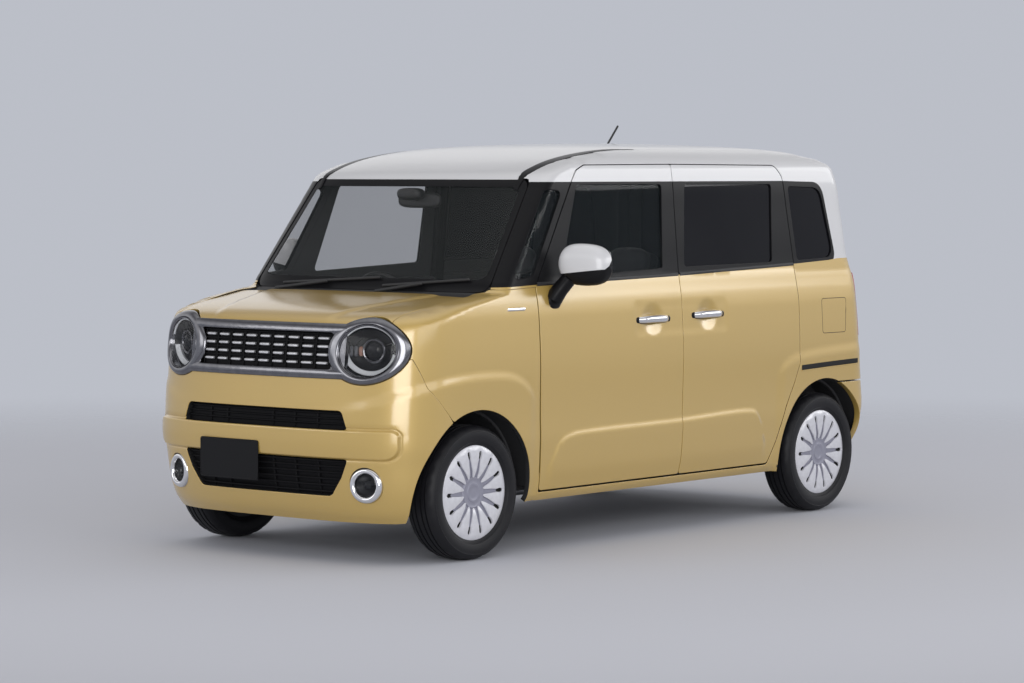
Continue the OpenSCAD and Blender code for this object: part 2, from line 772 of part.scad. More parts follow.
// Running gear
arm_z = 170;
carrier_z = 380;
pin_r = 12;
strut_r = 40;
module front_suspension() {
    color("gray") {
        block(-300, 300, axle_f - 60, axle_f + 60, arm_z - 15, arm_z + 20);
        both_sides() {
            for (y = [axle_f - 58, axle_f + 24]) block(335, 375, y, y + 34, arm_z - 15, 300 - fit_gap);
            difference() {
                union() {
                    block(290, king_x, axle_f - 30, axle_f + 30, arm_z - 12, arm_z + 12);
                    rod_z(arm_z - 14, arm_z + 14, king_x, axle_f, 28);
                    block(500, king_x, axle_f - 18, axle_f + 18, carrier_z - 10, carrier_z + 12);
                    rod_z(carrier_z - 12, carrier_z + 14, king_x, axle_f, 26);
                    rod_z(carrier_z - 40, 590, 500, axle_f, 26);
                    rod_z(560, wheel_r + sqrt(pow(front_liner_r, 2) - pow(strut_r, 2)) - fit_gap, 500, axle_f, strut_r);
                }
                rod_z(0, 600, king_x, axle_f, pin_r + run_gap);
            }
        }
    }
}
module knuckle() {
    rod_z(arm_z - 20, carrier_z + 20, king_x, axle_f, pin_r);
    rod_z(arm_z + 20, carrier_z - 18, king_x, axle_f, 22);
    rod_x(king_x, wheel_x + 56, axle_f, wheel_r, spindle_r);
}
module knuckle_left() { color("gray") knuckle(); }
module knuckle_right() { color("gray") mirror([1, 0, 0]) knuckle(); }
module rear_axle() {
    color("gray") {
        rod_x(-rear_wall_x + 20, rear_wall_x - 20, axle_r - 110, 236, 32);
        both_sides() {
            block(440, 500, axle_r - 420, axle_r + 30, 212, floor_z - floor_t - fit_gap);
            block(440, 500, axle_r - 60, axle_r + 40, 212, 306);
            rod_x(440, wheel_x + 56, axle_r, wheel_r, spindle_r);
        }
    }
}
module wheel_at(side, y) { translate([side * wheel_x, y, wheel_r]) rotate([0, side * 90, 0]) children(); }
bead_r = 185;
module tyre() {
    h = tyre_w / 2;
    rotate_extrude($fn = 96) polygon([[bead_r, -h + 18], [cover_r + 2, -h + 14], [cover_r + 10, -h + 7], [226, -h],
        [250, -h + 3], [264, -h + 11], [271, -h + 22], [wheel_r, 0], [271, h - 22], [264, h - 11], [250, h - 3],
        [226, h], [cover_r + 10, h - 7], [cover_r + 2, h - 14], [bead_r, h - 18]]);
}
module rim() {
    difference() {
        union() {
            rotate_extrude($fn = 96) polygon([[172, -60], [bead_r - fit_gap, -60], [bead_r - fit_gap, 58], [172, 58]]);
            rotate_extrude($fn = 96) polygon([[spindle_r + run_gap, 20], [174, 30], [174, 44], [spindle_r + run_gap, 40]]);
            rotate_extrude($fn = 96) polygon([[172, 40], [180, 58], [cover_r, 65], [cover_r, 69], [176, 71],
                [64, 60], [56, 70], [0, 72], [0, 60], [58, 52]]);
        }
        for (i = [0 : petals - 1]) rotate([0, 0, 360 * (i + 0.5) / petals]) translate([0, 0, 46])
            linear_extrude(40) polygon([[84, -4], [160, -9], [167, 0], [160, 9], [84, 4]]);
    }
}
module tyre_fl() { color("black") wheel_at(1, axle_f) tyre(); }
module tyre_fr() { color("black") wheel_at(-1, axle_f) tyre(); }
module tyre_rl() { color("black") wheel_at(1, axle_r) tyre(); }
module tyre_rr() { color("black") wheel_at(-1, axle_r) tyre(); }
module rim_fl() { color("white") wheel_at(1, axle_f) rim(); }
module rim_fr() { color("white") wheel_at(-1, axle_f) rim(); }
module rim_rl() { color("white") wheel_at(1, axle_r) rim(); }
module rim_rr() { color("white") wheel_at(-1, axle_r) rim(); }
module engine() {
    color("slategray") {
        block(-rail_x + fit_gap, rail_x - fit_gap, -1480, -1060, 230, 860);
        both_sides() rod_x(320, king_x - 30, axle_f, wheel_r, 14);
    }
}
exhaust_z = 170;
module exhaust() {
    color("gray") {
        block(70, 170, -1060 + fit_gap, -1010, exhaust_z - 20, 300);
        rod_y(-1020, 1440, 120, exhaust_z, 22);
        rod_x(-60, 330, 1490, 235, 80);
    }
}
module fuel_tank() { color("dimgray") block(-430, -30, 330, 880, 165, floor_z - floor_t - fit_gap); }

floor_pan();
wheel_liners();
side_frames();
roof_panel();
cowl();
fenders();
front_bumper();
rear_bumper();
hood();
tailgate();
front_door_left();
front_door_right();
rear_doors();
windshield();
fixed_side_glass();
front_glass_left();
front_glass_right();
tailgate_glass();
grille();
headlamps();
fog_lamps();
tail_lamps();
mirror_left();
mirror_right();
wipers();
antenna();
number_plate();
front_seats();
rear_seat();
dashboard();
steering_wheel();
front_suspension();
rear_axle();
knuckle_left();
knuckle_right();
tyre_fl();
tyre_fr();
tyre_rl();
tyre_rr();
rim_fl();
rim_fr();
rim_rl();
rim_rr();
engine();
exhaust();
fuel_tank();
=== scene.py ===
import itertools
import math

import bpy
import numpy as np
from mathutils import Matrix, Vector
from mathutils.geometry import delaunay_2d_cdt


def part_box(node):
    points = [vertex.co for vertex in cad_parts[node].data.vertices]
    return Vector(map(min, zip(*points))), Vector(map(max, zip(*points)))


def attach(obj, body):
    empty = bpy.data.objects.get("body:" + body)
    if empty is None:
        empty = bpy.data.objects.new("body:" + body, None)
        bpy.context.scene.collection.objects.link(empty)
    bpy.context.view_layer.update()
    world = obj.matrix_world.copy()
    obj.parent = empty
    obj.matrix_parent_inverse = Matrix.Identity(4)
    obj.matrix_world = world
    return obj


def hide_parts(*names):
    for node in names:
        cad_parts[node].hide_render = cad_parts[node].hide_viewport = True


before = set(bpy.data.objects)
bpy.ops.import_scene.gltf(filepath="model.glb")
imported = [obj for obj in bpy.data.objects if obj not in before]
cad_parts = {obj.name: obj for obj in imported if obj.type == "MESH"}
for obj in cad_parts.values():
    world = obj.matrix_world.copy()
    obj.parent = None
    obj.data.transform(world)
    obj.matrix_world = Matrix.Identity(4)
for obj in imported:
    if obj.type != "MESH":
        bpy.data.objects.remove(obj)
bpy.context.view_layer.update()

# Millimetres in this script, metres in the scene
MM = 0.001
FRONT_TIP, REAR_TIP, HALF_W = -1695.0, 1697.5, 737.5
AXLE_F, AXLE_R, WHEEL_R, WHEEL_X = -1182.5, 1277.5, 274.0, 647.0
ARCH_F, ARCH_R = 338.0, 344.0
GAP = 3.5

# Body sections: height, side inset, front setback, front corner depth, rear setback, rear corner depth
SECTIONS = np.array([
    (170, 45, 75, 320, 70, 190), (215, 30, 45, 330, 52, 195), (300, 14, 22, 340, 36, 200),
    (400, 5, 8, 350, 16, 205), (490, 0, 0, 350, 0, 210), (560, 0, 2, 350, 8, 210),
    (700, 0, 13, 345, 32, 205), (850, 3, 29, 335, 46, 200), (940, 7, 46, 325, 56, 195),
    (975, 9, 66, 315, 60, 193), (998, 11, 120, 300, 62, 190), (1020, 13, 220, 275, 64, 188),
    (1042, 15, 370, 235, 66, 186), (1060, 17, 500, 185, 68, 184), (1070, 18, 592, 145, 70, 182),
    (1120, 22, 632, 142, 85, 180), (1180, 28, 678, 140, 107, 178), (1250, 34, 733, 138, 117, 175),
    (1400, 47, 850, 134, 139, 170), (1500, 55, 928, 132, 154, 166), (1552, 61, 970, 135, 172, 165),
    (1590, 67, 1060, 150, 192, 165), (1620, 85, 1165, 175, 250, 180), (1650, 130, 1320, 220, 370, 220),
    (1675, 215, 1500, 270, 560, 280), (1690, 380, 1720, 330, 830, 320), (1695, 540, 1950, 120, 1090, 120),
], float)
FRONT_N, REAR_N = 3.0, 4.5


# Body surface
SAMPLE = 0.5


def softened(row, soft, step):
    """Row of samples blurred by a bell, with its ends carried on."""
    n = int(3 * soft / step)
    k = np.exp(-0.5 * (np.arange(-n, n + 1) * step / soft) ** 2)
    return np.convolve(np.pad(row, n, "reflect", reflect_type="odd"), k / k.sum(), "valid")


class Column:
    """Monotone cubic through one column of the section table, softened over a few millimetres."""

    def __init__(self, xs, ys, soft):
        h = np.diff(xs)
        d = np.diff(ys) / h
        m = np.zeros(len(xs))
        m[0], m[-1] = d[0], d[-1]
        for i in range(1, len(xs) - 1):
            if d[i - 1] * d[i] > 0:
                w1, w2 = 2 * h[i] + h[i - 1], h[i] + 2 * h[i - 1]
                m[i] = (w1 + w2) / (w1 / d[i - 1] + w2 / d[i])
        self.z = np.arange(xs[0] - 60, xs[-1] + 1, SAMPLE)
        i = np.clip(np.searchsorted(xs, self.z) - 1, 0, len(xs) - 2)
        t = (self.z - xs[i]) / h[i]
        cubic = (ys[i] * (1 + 2 * t) * (1 - t) ** 2 + h[i] * m[i] * t * (1 - t) ** 2
                 + ys[i + 1] * t * t * (3 - 2 * t) + h[i] * m[i + 1] * t * t * (t - 1))
        low = self.z < xs[0]
        cubic[low] = ys[0] + m[0] * (self.z[low] - xs[0])
        self.v = softened(cubic, soft, SAMPLE)

    def __call__(self, z):
        return np.interp(z, self.z, self.v)


SIDE_IN, FRONT_IN, FRONT_D, REAR_IN, REAR_D = [
    Column(SECTIONS[:, 0], SECTIONS[:, k], soft) for k, soft in ((1, 9), (2, 4), (3, 6), (4, 9), (5, 9))]


class Corner:
    """Plan curve of a body corner by its share of arc length, from the middle (0) to the side (1)."""

    def __init__(self, n, aspect):
        self.n = n
        self.a = np.linspace(0, math.pi / 2, 6001)
        xi, eta = self.at_angle(self.a)
        run = np.concatenate([[0], np.cumsum(np.hypot(aspect * np.diff(xi), np.diff(eta)))])
        self.length = run[-1]
        self.t = run / run[-1]

    def at_angle(self, a):
        return np.sin(a) ** (2 / self.n), np.clip(np.cos(a), 0, 1) ** (2 / self.n)

    def at(self, t):
        return self.at_angle(np.interp(t, self.t, self.a))

    def from_xi(self, xi):
        return np.interp(np.arcsin(np.clip(xi, 0, 1) ** (self.n / 2)), self.a, self.t)

    def from_eta(self, eta):
        return np.interp(np.arccos(np.clip(eta, 0, 1) ** (self.n / 2)), self.a, self.t)


NOSE, TAIL = Corner(FRONT_N, 2.1), Corner(REAR_N, 3.6)
END_SHARE = 0.93


def ring_at(z):
    df, dr = FRONT_D(z), REAR_D(z)
    return HALF_W - SIDE_IN(z), FRONT_TIP + FRONT_IN(z) + df, df, REAR_TIP - REAR_IN(z) - dr, dr


def front_y(x, z):
    hw, yf, df, _, _ = ring_at(z)
    xi = np.clip(np.abs(x) / hw, 0, 1)
    return yf - df * (1 - xi ** FRONT_N) ** (1 / FRONT_N)


def rear_y(x, z):
    hw, _, _, yr, dr = ring_at(z)
    xi = np.clip(np.abs(x) / hw, 0, 1)
    return yr + dr * (1 - xi ** REAR_N) ** (1 / REAR_N)


def side_map(q):
    """Left side, unrolled: distance along the car (arc length round the corners) and height."""
    u, z = q[:, 0], q[:, 1]
    hw, yf, df, yr, dr = ring_at(z)
    fx, fe = NOSE.at(np.clip(1 - (yf - u) / (df * NOSE.length), 0, 1))
    rx, re = TAIL.at(np.clip(1 - (u - yr) / (dr * TAIL.length), 0, 1))
    x = hw * np.where(u < yf, fx, np.where(u > yr, rx, 1))
    y = np.where(u < yf, yf - df * fe, np.where(u > yr, yr + dr * re, u))
    return np.stack([x, y, z], 1)


def end_map(q, corner, front):
    """Front or rear end, unrolled from the middle out and along both sides."""
    v, z = q[:, 0], q[:, 1]
    hw, yf, df, yr, dr = ring_at(z)
    y0, d, way = (yf, df, -1) if front else (yr, dr, 1)
    reach = d * corner.length
    xi, eta = corner.at(np.clip(np.abs(v) / reach, 0, 1))
    past = np.maximum(np.abs(v) - reach, 0)
    return np.stack([np.sign(v) * hw * xi, y0 + way * d * eta - way * past, z], 1)


def nose_map(q):
    return end_map(q, NOSE, True)


def tail_map(q):
    return end_map(q, TAIL, False)


def screen_map(q):
    return np.stack([q[:, 0], front_y(q[:, 0], q[:, 1]), q[:, 1]], 1)


def gate_map(q):
    return np.stack([q[:, 0], rear_y(q[:, 0], q[:, 1]), q[:, 1]], 1)


def top_z(x, y, low=700.0, high=1695.0):
    """Height of the body above a point in plan."""
    a, b = np.full(np.shape(x), low), np.full(np.shape(x), high)
    for _ in range(34):
        z = (a + b) / 2
        hw = ring_at(z)[0]
        inside = (np.abs(x) < hw) & (y > front_y(x, z)) & (y < rear_y(x, z))
        a, b = np.where(inside, z, a), np.where(inside, b, z)
    return (a + b) / 2


class Height:
    """Softened height of the body over a stretch of the plan, smooth enough to shade."""

    def __init__(self, x1, y0, y1, step, soft):
        self.x0, self.y0, self.step = -x1, y0, step
        xs, ys = np.arange(-x1, x1 + step, step), np.arange(y0, y1 + step, step)
        g = top_z(*np.meshgrid(xs, ys, indexing="ij"))
        for axis in (0, 1):
            g = np.apply_along_axis(softened, axis, g, soft, step)
        self.g = g

    def __call__(self, q):
        f = np.stack([(q[:, 0] - self.x0) / self.step, (q[:, 1] - self.y0) / self.step])
        i = np.rint(f).astype(int)
        d = f - i
        i = [np.clip(i[0], 1, self.g.shape[0] - 2), np.clip(i[1], 1, self.g.shape[1] - 2)]
        w = [(0.5 * (0.5 - e) ** 2, 0.75 - e * e, 0.5 * (0.5 + e) ** 2) for e in d]
        z = sum(w[0][a] * w[1][b] * self.g[i[0] + a - 1, i[1] + b - 1] for a in range(3) for b in range(3))
        return np.stack([q[:, 0], q[:, 1], z], 1)


hood_map = Height(720, -1720, -1050, 6, 9)
roof_map = Height(640, -940, 1640, 10, 22)


def uz_front(x, z):
    """Point of the front view on the unrolled left side."""
    hw, yf, df, _, _ = ring_at(z)
    return yf - df * NOSE.length * (1 - NOSE.from_xi(x / hw)), z


def uz_rear(x, z):
    hw, _, _, yr, dr = ring_at(z)
    return yr + dr * TAIL.length * (1 - TAIL.from_xi(x / hw)), z


def uz_side(y, z):
    """Point of the side view on the unrolled left side."""
    hw, yf, df, yr, dr = ring_at(z)
    if y < yf:
        return yf - df * NOSE.length * (1 - NOSE.from_eta((yf - y) / df)), z
    if y > yr:
        return yr + dr * TAIL.length * (1 - TAIL.from_eta((y - yr) / dr)), z
    return y, z


def uz_plan(x, y):
    """Point of the plan on the unrolled left side."""
    z = float(top_z(np.array(x, float), np.array(y, float)))
    hw, yf, df, yr, dr = ring_at(z)
    if y < yf and x / hw < END_SHARE:
        return uz_front(x, z)
    if y > yr and x / hw < END_SHARE:
        return uz_rear(x, z)
    return uz_side(y, z)


def vz(u_z, front=True):
    """Point of the unrolled side as a point of the unrolled front or rear end."""
    u, z = u_z
    _, yf, df, yr, dr = ring_at(z)
    return (u - yf + df * NOSE.length, z) if front else (yr + dr * TAIL.length - u, z)


# Outlines
def fillet(points, radius):
    """Closed outline with rounded corners. One radius, or one for each corner."""
    out = []
    p = [np.array(c, float) for c in points]
    for i, c in enumerate(p):
        r = radius[i] if isinstance(radius, (list, tuple)) else radius
        a, b = p[i - 1] - c, p[(i + 1) % len(p)] - c
        la, lb = np.linalg.norm(a), np.linalg.norm(b)
        cosine = float(np.clip(a @ b / (la * lb), -1, 1))
        half = math.acos(cosine) / 2
        run = min(r / max(math.tan(half), 1e-3), 0.46 * la, 0.46 * lb)
        if run < 0.5 or half > 1.52:
            out.append(c)
            continue
        s, e = c + a / la * run, c + b / lb * run
        for t in np.linspace(0, 1, 8):
            out.append(s * (1 - t) ** 2 + 2 * c * t * (1 - t) + e * t * t)
    return np.array(out)


def dense(points, step=14.0, closed=True):
    p = np.array(points, float)
    ends = np.roll(p, -1, 0) if closed else p[1:]
    out = []
    for a, b in zip(p, ends):
        n = max(1, int(math.ceil(np.linalg.norm(b - a) / step)))
        out += [a + (b - a) * k / n for k in range(n)]
    if not closed:
        out.append(p[-1])
    out = np.array(out)
    keep = np.linalg.norm(out - np.roll(out, 1, 0), axis=1) > 0.4
    return out[keep] if closed else out


def rounded(points, radius, step=14.0):
    return dense(fillet(points, radius), step)


def across(x, z, step):
    """Level line from one side to the other."""
    return dense([(-x, z), (x, z)], step, False)


def closed_line(points):
    return np.concatenate([points, points[:1]])


def four(w0, z0, w1, z1):
    """Corners of a shape mirrored about the middle: half width and height of its foot and of its top."""
    return [(-w0, z0), (w0, z0), (w1, z1), (-w1, z1)]


def grow(points, d):
    """Closed outline moved outwards by d."""
    p = np.array(points, float)
    area = np.sum(p[:, 0] * np.roll(p[:, 1], -1) - np.roll(p[:, 0], -1) * p[:, 1])
    e = np.roll(p, -1, 0) - p
    e /= np.linalg.norm(e, axis=1)[:, None]
    n = np.stack([e[:, 1], -e[:, 0]], 1) * (1 if area > 0 else -1)
    m = n + np.roll(n, 1, 0)
    m /= np.maximum(np.sum(m * m, 1), 0.6)[:, None] / 2
    return p + m * d


def inside(poly, q):
    x, y = q[:, 0], q[:, 1]
    hit = np.zeros(len(q), bool)
    for (ax, ay), (bx, by) in zip(poly, np.roll(poly, -1, 0)):
        if ay != by:
            hit ^= ((ay > y) != (by > y)) & (x < (bx - ax) * (y - ay) / (by - ay) + ax)
    return hit


def far_from(q, pts, d):
    keep = np.ones(len(q), bool)
    for i in range(0, len(q), 2000):
        s = q[i:i + 2000]
        keep[i:i + 2000] = np.min(np.sum((s[:, None] - pts[None]) ** 2, 2), 1) > d * d
    return keep


def staggered(x0, x1, y0, y1, step):
    rows = []
    for k, y in enumerate(np.arange(y0, y1, step * 0.87)):
        xs = np.arange(x0 + (k % 2) * step / 2, x1, step)
        rows.append(np.stack([xs, np.full(len(xs), y)], 1))
    return np.concatenate(rows)


def triangulate(outline, cuts, lines, step, fine):
    loops = [np.array(outline)] + [np.array(c) for c in cuts]
    verts, edges = [], []
    for pts, closed in [(c, True) for c in loops] + [(np.array(ln), False) for ln in lines]:
        n0 = len(verts)
        verts += list(pts)
        edges += [(n0 + i, n0 + i + 1)
                  for i in range(len(pts) - 1)] + ([(n0 + len(pts) - 1, n0)] if closed else [])
    fixed = np.array(verts)
    lo, hi = np.min(outline, 0), np.max(outline, 0)
    grid = staggered(lo[0], hi[0], lo[1], hi[1], step)
    grid = grid[far_from(grid, fixed, 0.62 * step)]
    for x0, x1, y0, y1, s in fine:
        grid = grid[~((grid[:, 0] > x0) & (grid[:, 0] < x1) & (grid[:, 1] > y0) & (grid[:, 1] < y1))]
        more = staggered(x0, x1, y0, y1, s)
        grid = np.concatenate([grid, more[far_from(more, fixed, 0.6 * s)]])
    ok = inside(loops[0], grid)
    for c in loops[1:]:
        ok &= ~inside(c, grid)
    verts += list(grid[ok])
    out = delaunay_2d_cdt([Vector(v) for v in verts], edges, [], 0, 1e-3, False)
    q, tris = np.array([tuple(v) for v in out[0]]), np.array([f for f in out[2] if len(f) == 3])
    mid = q[tris].mean(1)
    keep = inside(loops[0], mid)
    for c in loops[1:]:
        keep &= ~inside(c, mid)
    tris = tris[keep]
    used = np.unique(tris)
    index = np.full(len(q), -1)
    index[used] = np.arange(len(used))
    return q[used], index[tris]


def unit(v):
    return v / np.maximum(np.linalg.norm(v, axis=-1, keepdims=True), 1e-12)


def surface(fmap, q, bump=None, e=1.2):
    du, dv = np.array([e, 0.0]), np.array([0.0, e])

    def normal(at, f):
        return unit(np.cross(f(at + du) - f(at - du), f(at + dv) - f(at - dv)))

    p = fmap(q)
    core = np.stack([np.zeros(len(p)), np.clip(p[:, 1], -1000, 1000), np.full(len(p), 700.0)], 1)
    sign = 1.0 if np.mean(np.sum(normal(q, fmap) * unit(p - core), 1)) > 0 else -1.0
    if bump is None:
        return p, normal(q, fmap) * sign

    def raised(at):
        base = fmap(at)
        return base + normal(at, fmap) * sign * bump(base)[:, None]

    return raised(q), normal(q, raised) * sign


ROLL = (math.radians(30), math.radians(60), math.radians(90))


def panel(fmap, outline, cuts=(), lines=(), step=26, fine=(), depth=14, roll=1.8, bump=None, paint=None,
          inner=0, sink=0.0, gap_shade=None):
    """Closed sheet on the body surface with rolled edges: (vertices, faces, normals, material numbers)."""
    q, tris = triangulate(outline, cuts, lines, step, fine)
    p, n = surface(fmap, q, bump)
    p = p - n * sink
    a, b, c = p[tris[:, 0]], p[tris[:, 1]], p[tris[:, 2]]
    if np.sum(np.cross(b - a, c - a) * n[tris[:, 0]]) < 0:
        tris = tris[:, ::-1]
    mats = paint(fmap(q[tris].mean(1) if len(tris) else q)) if paint else np.zeros(len(tris), int)
    pairs = {}
    for k, (i, j, m) in enumerate(tris.tolist()):
        pairs[(i, j)] = k
        pairs[(j, m)] = k
        pairs[(m, i)] = k
    rim = [(i, j, k) for (i, j), k in pairs.items() if (j, i) not in pairs]
    after = {i: j for i, j, _ in rim}
    before = {j: i for i, j, _ in rim}
    ids = [i for i in after if i in before]
    place = {i: r for r, i in enumerate(ids)}
    ia = np.array(ids)
    t = unit(p[[after[i] for i in ids]] - p[[before[i] for i in ids]])
    out = unit(np.cross(t, n[ia]))
    rings, norms = [], []
    for ang in ROLL:
        rings.append(p[ia] + out * roll * math.sin(ang) - n[ia] * roll * (1 - math.cos(ang)))
        norms.append(unit(n[ia] * math.cos(ang) + out * math.sin(ang)))
    rings.append(p[ia] + out * roll - n[ia] * depth)
    norms.append(unit(out - 0.3 * n[ia]))
    nv, nr = len(p), len(ids)
    verts = np.concatenate([p] + rings + [p - n * depth])
    normals = np.concatenate([n] + norms + [-n])
    back = nv + nr * len(rings)
    faces = tris.tolist() + (tris[:, ::-1] + back).tolist()
    numbers = mats.tolist() + [inner] * len(tris)
    for i, j, k in rim:
        if i not in place or j not in place:
            continue
        ri, rj = place[i], place[j]
        chain_i = [i] + [nv + s * nr + ri for s in range(len(rings))] + [back + i]
        chain_j = [j] + [nv + s * nr + rj for s in range(len(rings))] + [back + j]
        for s in range(len(chain_i) - 1):
            faces.append([chain_j[s], chain_i[s], chain_i[s + 1], chain_j[s + 1]])
            # Walls past the rolled edge may take their own dark material: painted shade down in the gap.
            edge = int(mats[k]) if gap_shade is None or s < len(ROLL) else gap_shade
            numbers.append(edge if s < len(chain_i) - 2 else inner)
    return verts, faces, normals, numbers


def mirrored(mesh):
    v, f, n, m = mesh
    flip = np.array([-1.0, 1.0, 1.0])
    return v * flip, [face[::-1] for face in f], None if n is None else n * flip, m


def joined(*meshes):
    verts, faces, normals, mats = [], [], [], []
    count = 0
    for v, f, n, m in meshes:
        verts.append(v)
        faces += [[i + count for i in face] for face in f]
        normals.append(n)
        mats += list(m)
        count += len(v)
    return np.concatenate(verts), faces, None if any(n is None
                                                     for n in normals) else np.concatenate(normals), mats


def both(mesh):
    return joined(mesh, mirrored(mesh))


def plain(mesh):
    """Mesh without normals of its own."""
    return mesh[:2] + (None,) + mesh[3:]


def all_of(number):
    """Paint of one material."""
    return lambda p: np.full(len(p), number)


def linked(name, data):
    obj = bpy.data.objects.new(name, data)
    bpy.context.scene.collection.objects.link(obj)
    return obj


def entered(obj, body, nodes):
    """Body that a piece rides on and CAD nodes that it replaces."""
    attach(obj, body)
    if nodes:
        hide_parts(*nodes)
    return obj


def make(name, mesh, mats, body="body", nodes=(), sharp=38):
    """A piece of the scene from a mesh in millimetres."""
    v, f, n, numbers = mesh
    data = bpy.data.meshes.new(name)
    data.from_pydata((v * MM).tolist(), [], f)
    for m in mats:
        data.materials.append(m)
    data.polygons.foreach_set("material_index", np.array(numbers, np.int32))
    data.polygons.foreach_set("use_smooth", np.ones(len(f), bool))
    data.update()
    if n is not None:
        data.normals_split_custom_set_from_vertices(n.tolist())
    else:
        data.set_sharp_from_angle(angle=math.radians(sharp))
    return entered(linked(name, data), body, nodes)


def make_doors(name, mesh, mats, node=None):
    """The same piece on both front doors."""
    for side, m in (("left", mesh), ("right", mirrored(mesh))):
        make(f"{name}_{side}", m, mats, f"door_{side}", [f"{node}_{side}"] if node else ())


# Plain solids, as (vertices, faces, None, material numbers)
def wound(profile):
    """Profile listed so that a turned shape faces outwards."""
    p = list(profile)
    area = sum(a[0] * b[1] - b[0] * a[1] for a, b in zip(p, p[1:] + p[:1]))
    return p if area > 0 else p[::-1]


def strips(rings, around, turned=False, loop=False, wrap=True):
    """Quads that join each ring of points to the next, wound the other way when turned."""
    quads = []
    for i in range(rings if loop else rings - 1):
        a, b = i * around, (i + 1) % rings * around
        for j in range(around if wrap else around - 1):
            k = (j + 1) % around
            quads.append([a + j, b + j, b + k, a + k] if turned else [a + j, a + k, b + k, b + j])
    return quads


def ends(rings, around, turned=False):
    """Faces that close the first and the last ring."""
    first, last = list(range(around)), [(rings - 1) * around + j for j in range(around)]
    return [first, last[::-1]] if turned else [first[::-1], last]


def spun(profile, angles):
    """Points of a profile turned to each angle."""
    return np.array([(r * math.cos(a), r * math.sin(a), h) for a in angles for r, h in profile], float)


def solid(verts, faces, number=0):
    return np.array(verts, float), faces, None, [number] * len(faces)


def lathe(profile, segs=64, number=0, closed=False):
    """Turned shape about the local third axis. Profile points are (radius, height)."""
    profile = wound(profile)
    k = len(profile)
    pole = [r < 1e-6 for r, _ in profile]
    faces = []
    for f in strips(segs, k, True, True, closed):
        if pole[f[0] % k]:
            f = [f[0], f[2], f[3]]
        elif pole[f[3] % k]:
            f = [f[0], f[1], f[3]]
        faces.append(f)
    return solid(spun(profile, [2 * math.pi * s / segs for s in range(segs)]), faces, number)


def box(x0, x1, y0, y1, z0, z1, r, number=0):
    """Block with chamfered edges: three points at each corner, one on each face that meets there."""
    low, high = np.array([x0, y0, z0], float), np.array([x1, y1, z1], float)
    corners = np.array(list(itertools.product((-1, 1), repeat=3)))
    verts = np.array([np.where(c > 0, high, low) - r * c * (np.arange(3) != axis) for c in corners
                      for axis in range(3)])
    faces = []
    for way in np.array(list(itertools.product((-1, 0, 1), repeat=3))):
        ring = [3 * i + axis for i, c in enumerate(corners) for axis in range(3)
                if way[axis] and np.all((way == 0) | (way == c))]
        if ring:
            spoke = verts[ring] - verts[ring].mean(0)
            turn = np.arctan2(spoke @ np.cross(way, spoke[0]) / np.linalg.norm(way), spoke @ spoke[0])
            faces.append([ring[i] for i in np.argsort(turn)])
    return solid(verts, faces, number)


def tube(path, radius, segs=12, number=0, flat=1.0, closed=False):
    """Round bar along a path. Radius may be one number or one for each point; flat squeezes it upright."""
    p = np.array(path, float)
    r = np.full(len(p), radius, float) if np.isscalar(radius) else np.array(radius, float)
    t = unit(np.roll(p, -1, 0) - np.roll(p, 1, 0)) if closed else unit(np.gradient(p, axis=0))
    up = np.array([0.0, 0.0, 1.0])
    if np.mean(np.abs(t @ up)) > 0.9:
        up = np.array([1.0, 0.0, 0.0])
    s = unit(np.cross(t, up))
    w = np.cross(s, t)
    a = np.arange(segs) * 2 * math.pi / segs
    ring = s[:, None] * np.cos(a)[None, :, None] + flat * w[:, None] * np.sin(a)[None, :, None]
    verts = (p[:, None] + r[:, None, None] * ring).reshape(-1, 3)
    faces = strips(len(p), segs, loop=closed) + ([] if closed else ends(len(p), segs))
    f0 = faces[0]
    if np.cross(verts[f0[1]] - verts[f0[0]], verts[f0[2]] - verts[f0[0]]) @ (verts[f0].mean(0) - p[0]) < 0:
        faces = [f[::-1] for f in faces]
    return solid(verts, faces, number)


def blob(centre, size, n=2.6, rings=20, segs=32, number=0):
    """Rounded block: superellipsoid of the given half sizes."""
    def pw(v, k):
        return np.sign(v) * np.abs(v) ** k
    la = np.linspace(-math.pi / 2, math.pi / 2, rings + 1)
    lo = np.arange(segs) * 2 * math.pi / segs
    verts = [(size[0] * pw(math.cos(a), 2 / n) * pw(math.cos(b), 2 / n),
              size[1] * pw(math.cos(a), 2 / n) * pw(math.sin(b), 2 / n),
              size[2] * pw(math.sin(a), 2 / n)) for a in la for b in lo]
    quads = strips(rings + 1, segs)
    faces = [[f[0], f[2], f[3]] for f in quads[:segs]] + quads[segs:-segs]
    faces += [f[:2] + [rings * segs] for f in quads[-segs:]]
    return solid(np.array(verts, float) + np.array(centre, float), faces, number)


def placed(mesh, rows, origin):
    """Mesh moved into a local frame, with the frame's axes as rows."""
    v, f, n, m = mesh
    r = np.array(rows, float)
    out = v @ r + np.array(origin, float)
    if np.linalg.det(r) < 0:
        f = [face[::-1] for face in f]
    return out, f, None if n is None else n @ r, m


def plate(outline, to3d, thick_dir, number=0):
    """Flat closed plate from an outline given in 3-D points."""
    p = np.array([to3d(c) for c in outline], float)
    d = np.array(thick_dir, float)
    k = len(p)
    verts = np.concatenate([p, p + d])
    faces = [list(range(k)), [k + i for i in range(k)][::-1]]
    faces += [[i, k + i, k + (i + 1) % k, (i + 1) % k] for i in range(k)]
    area = sum(np.cross(p[i] - p[0], p[(i + 1) % k] - p[0]) for i in range(k))
    if area @ d > 0:
        faces = [f[::-1] for f in faces]
    return solid(verts, faces, number)


# Materials
def material(name, color, rough=0.5, metal=0.0, alpha=1.0, **more):
    m = bpy.data.materials.new(name)
    m.use_nodes = True
    b = m.node_tree.nodes["Principled BSDF"].inputs
    b["Base Color"].default_value = (*color, 1)
    b["Roughness"].default_value = rough
    b["Metallic"].default_value = metal
    b["Alpha"].default_value = alpha
    for key, value in more.items():
        b[key.replace("_", " ")].default_value = value
    return m


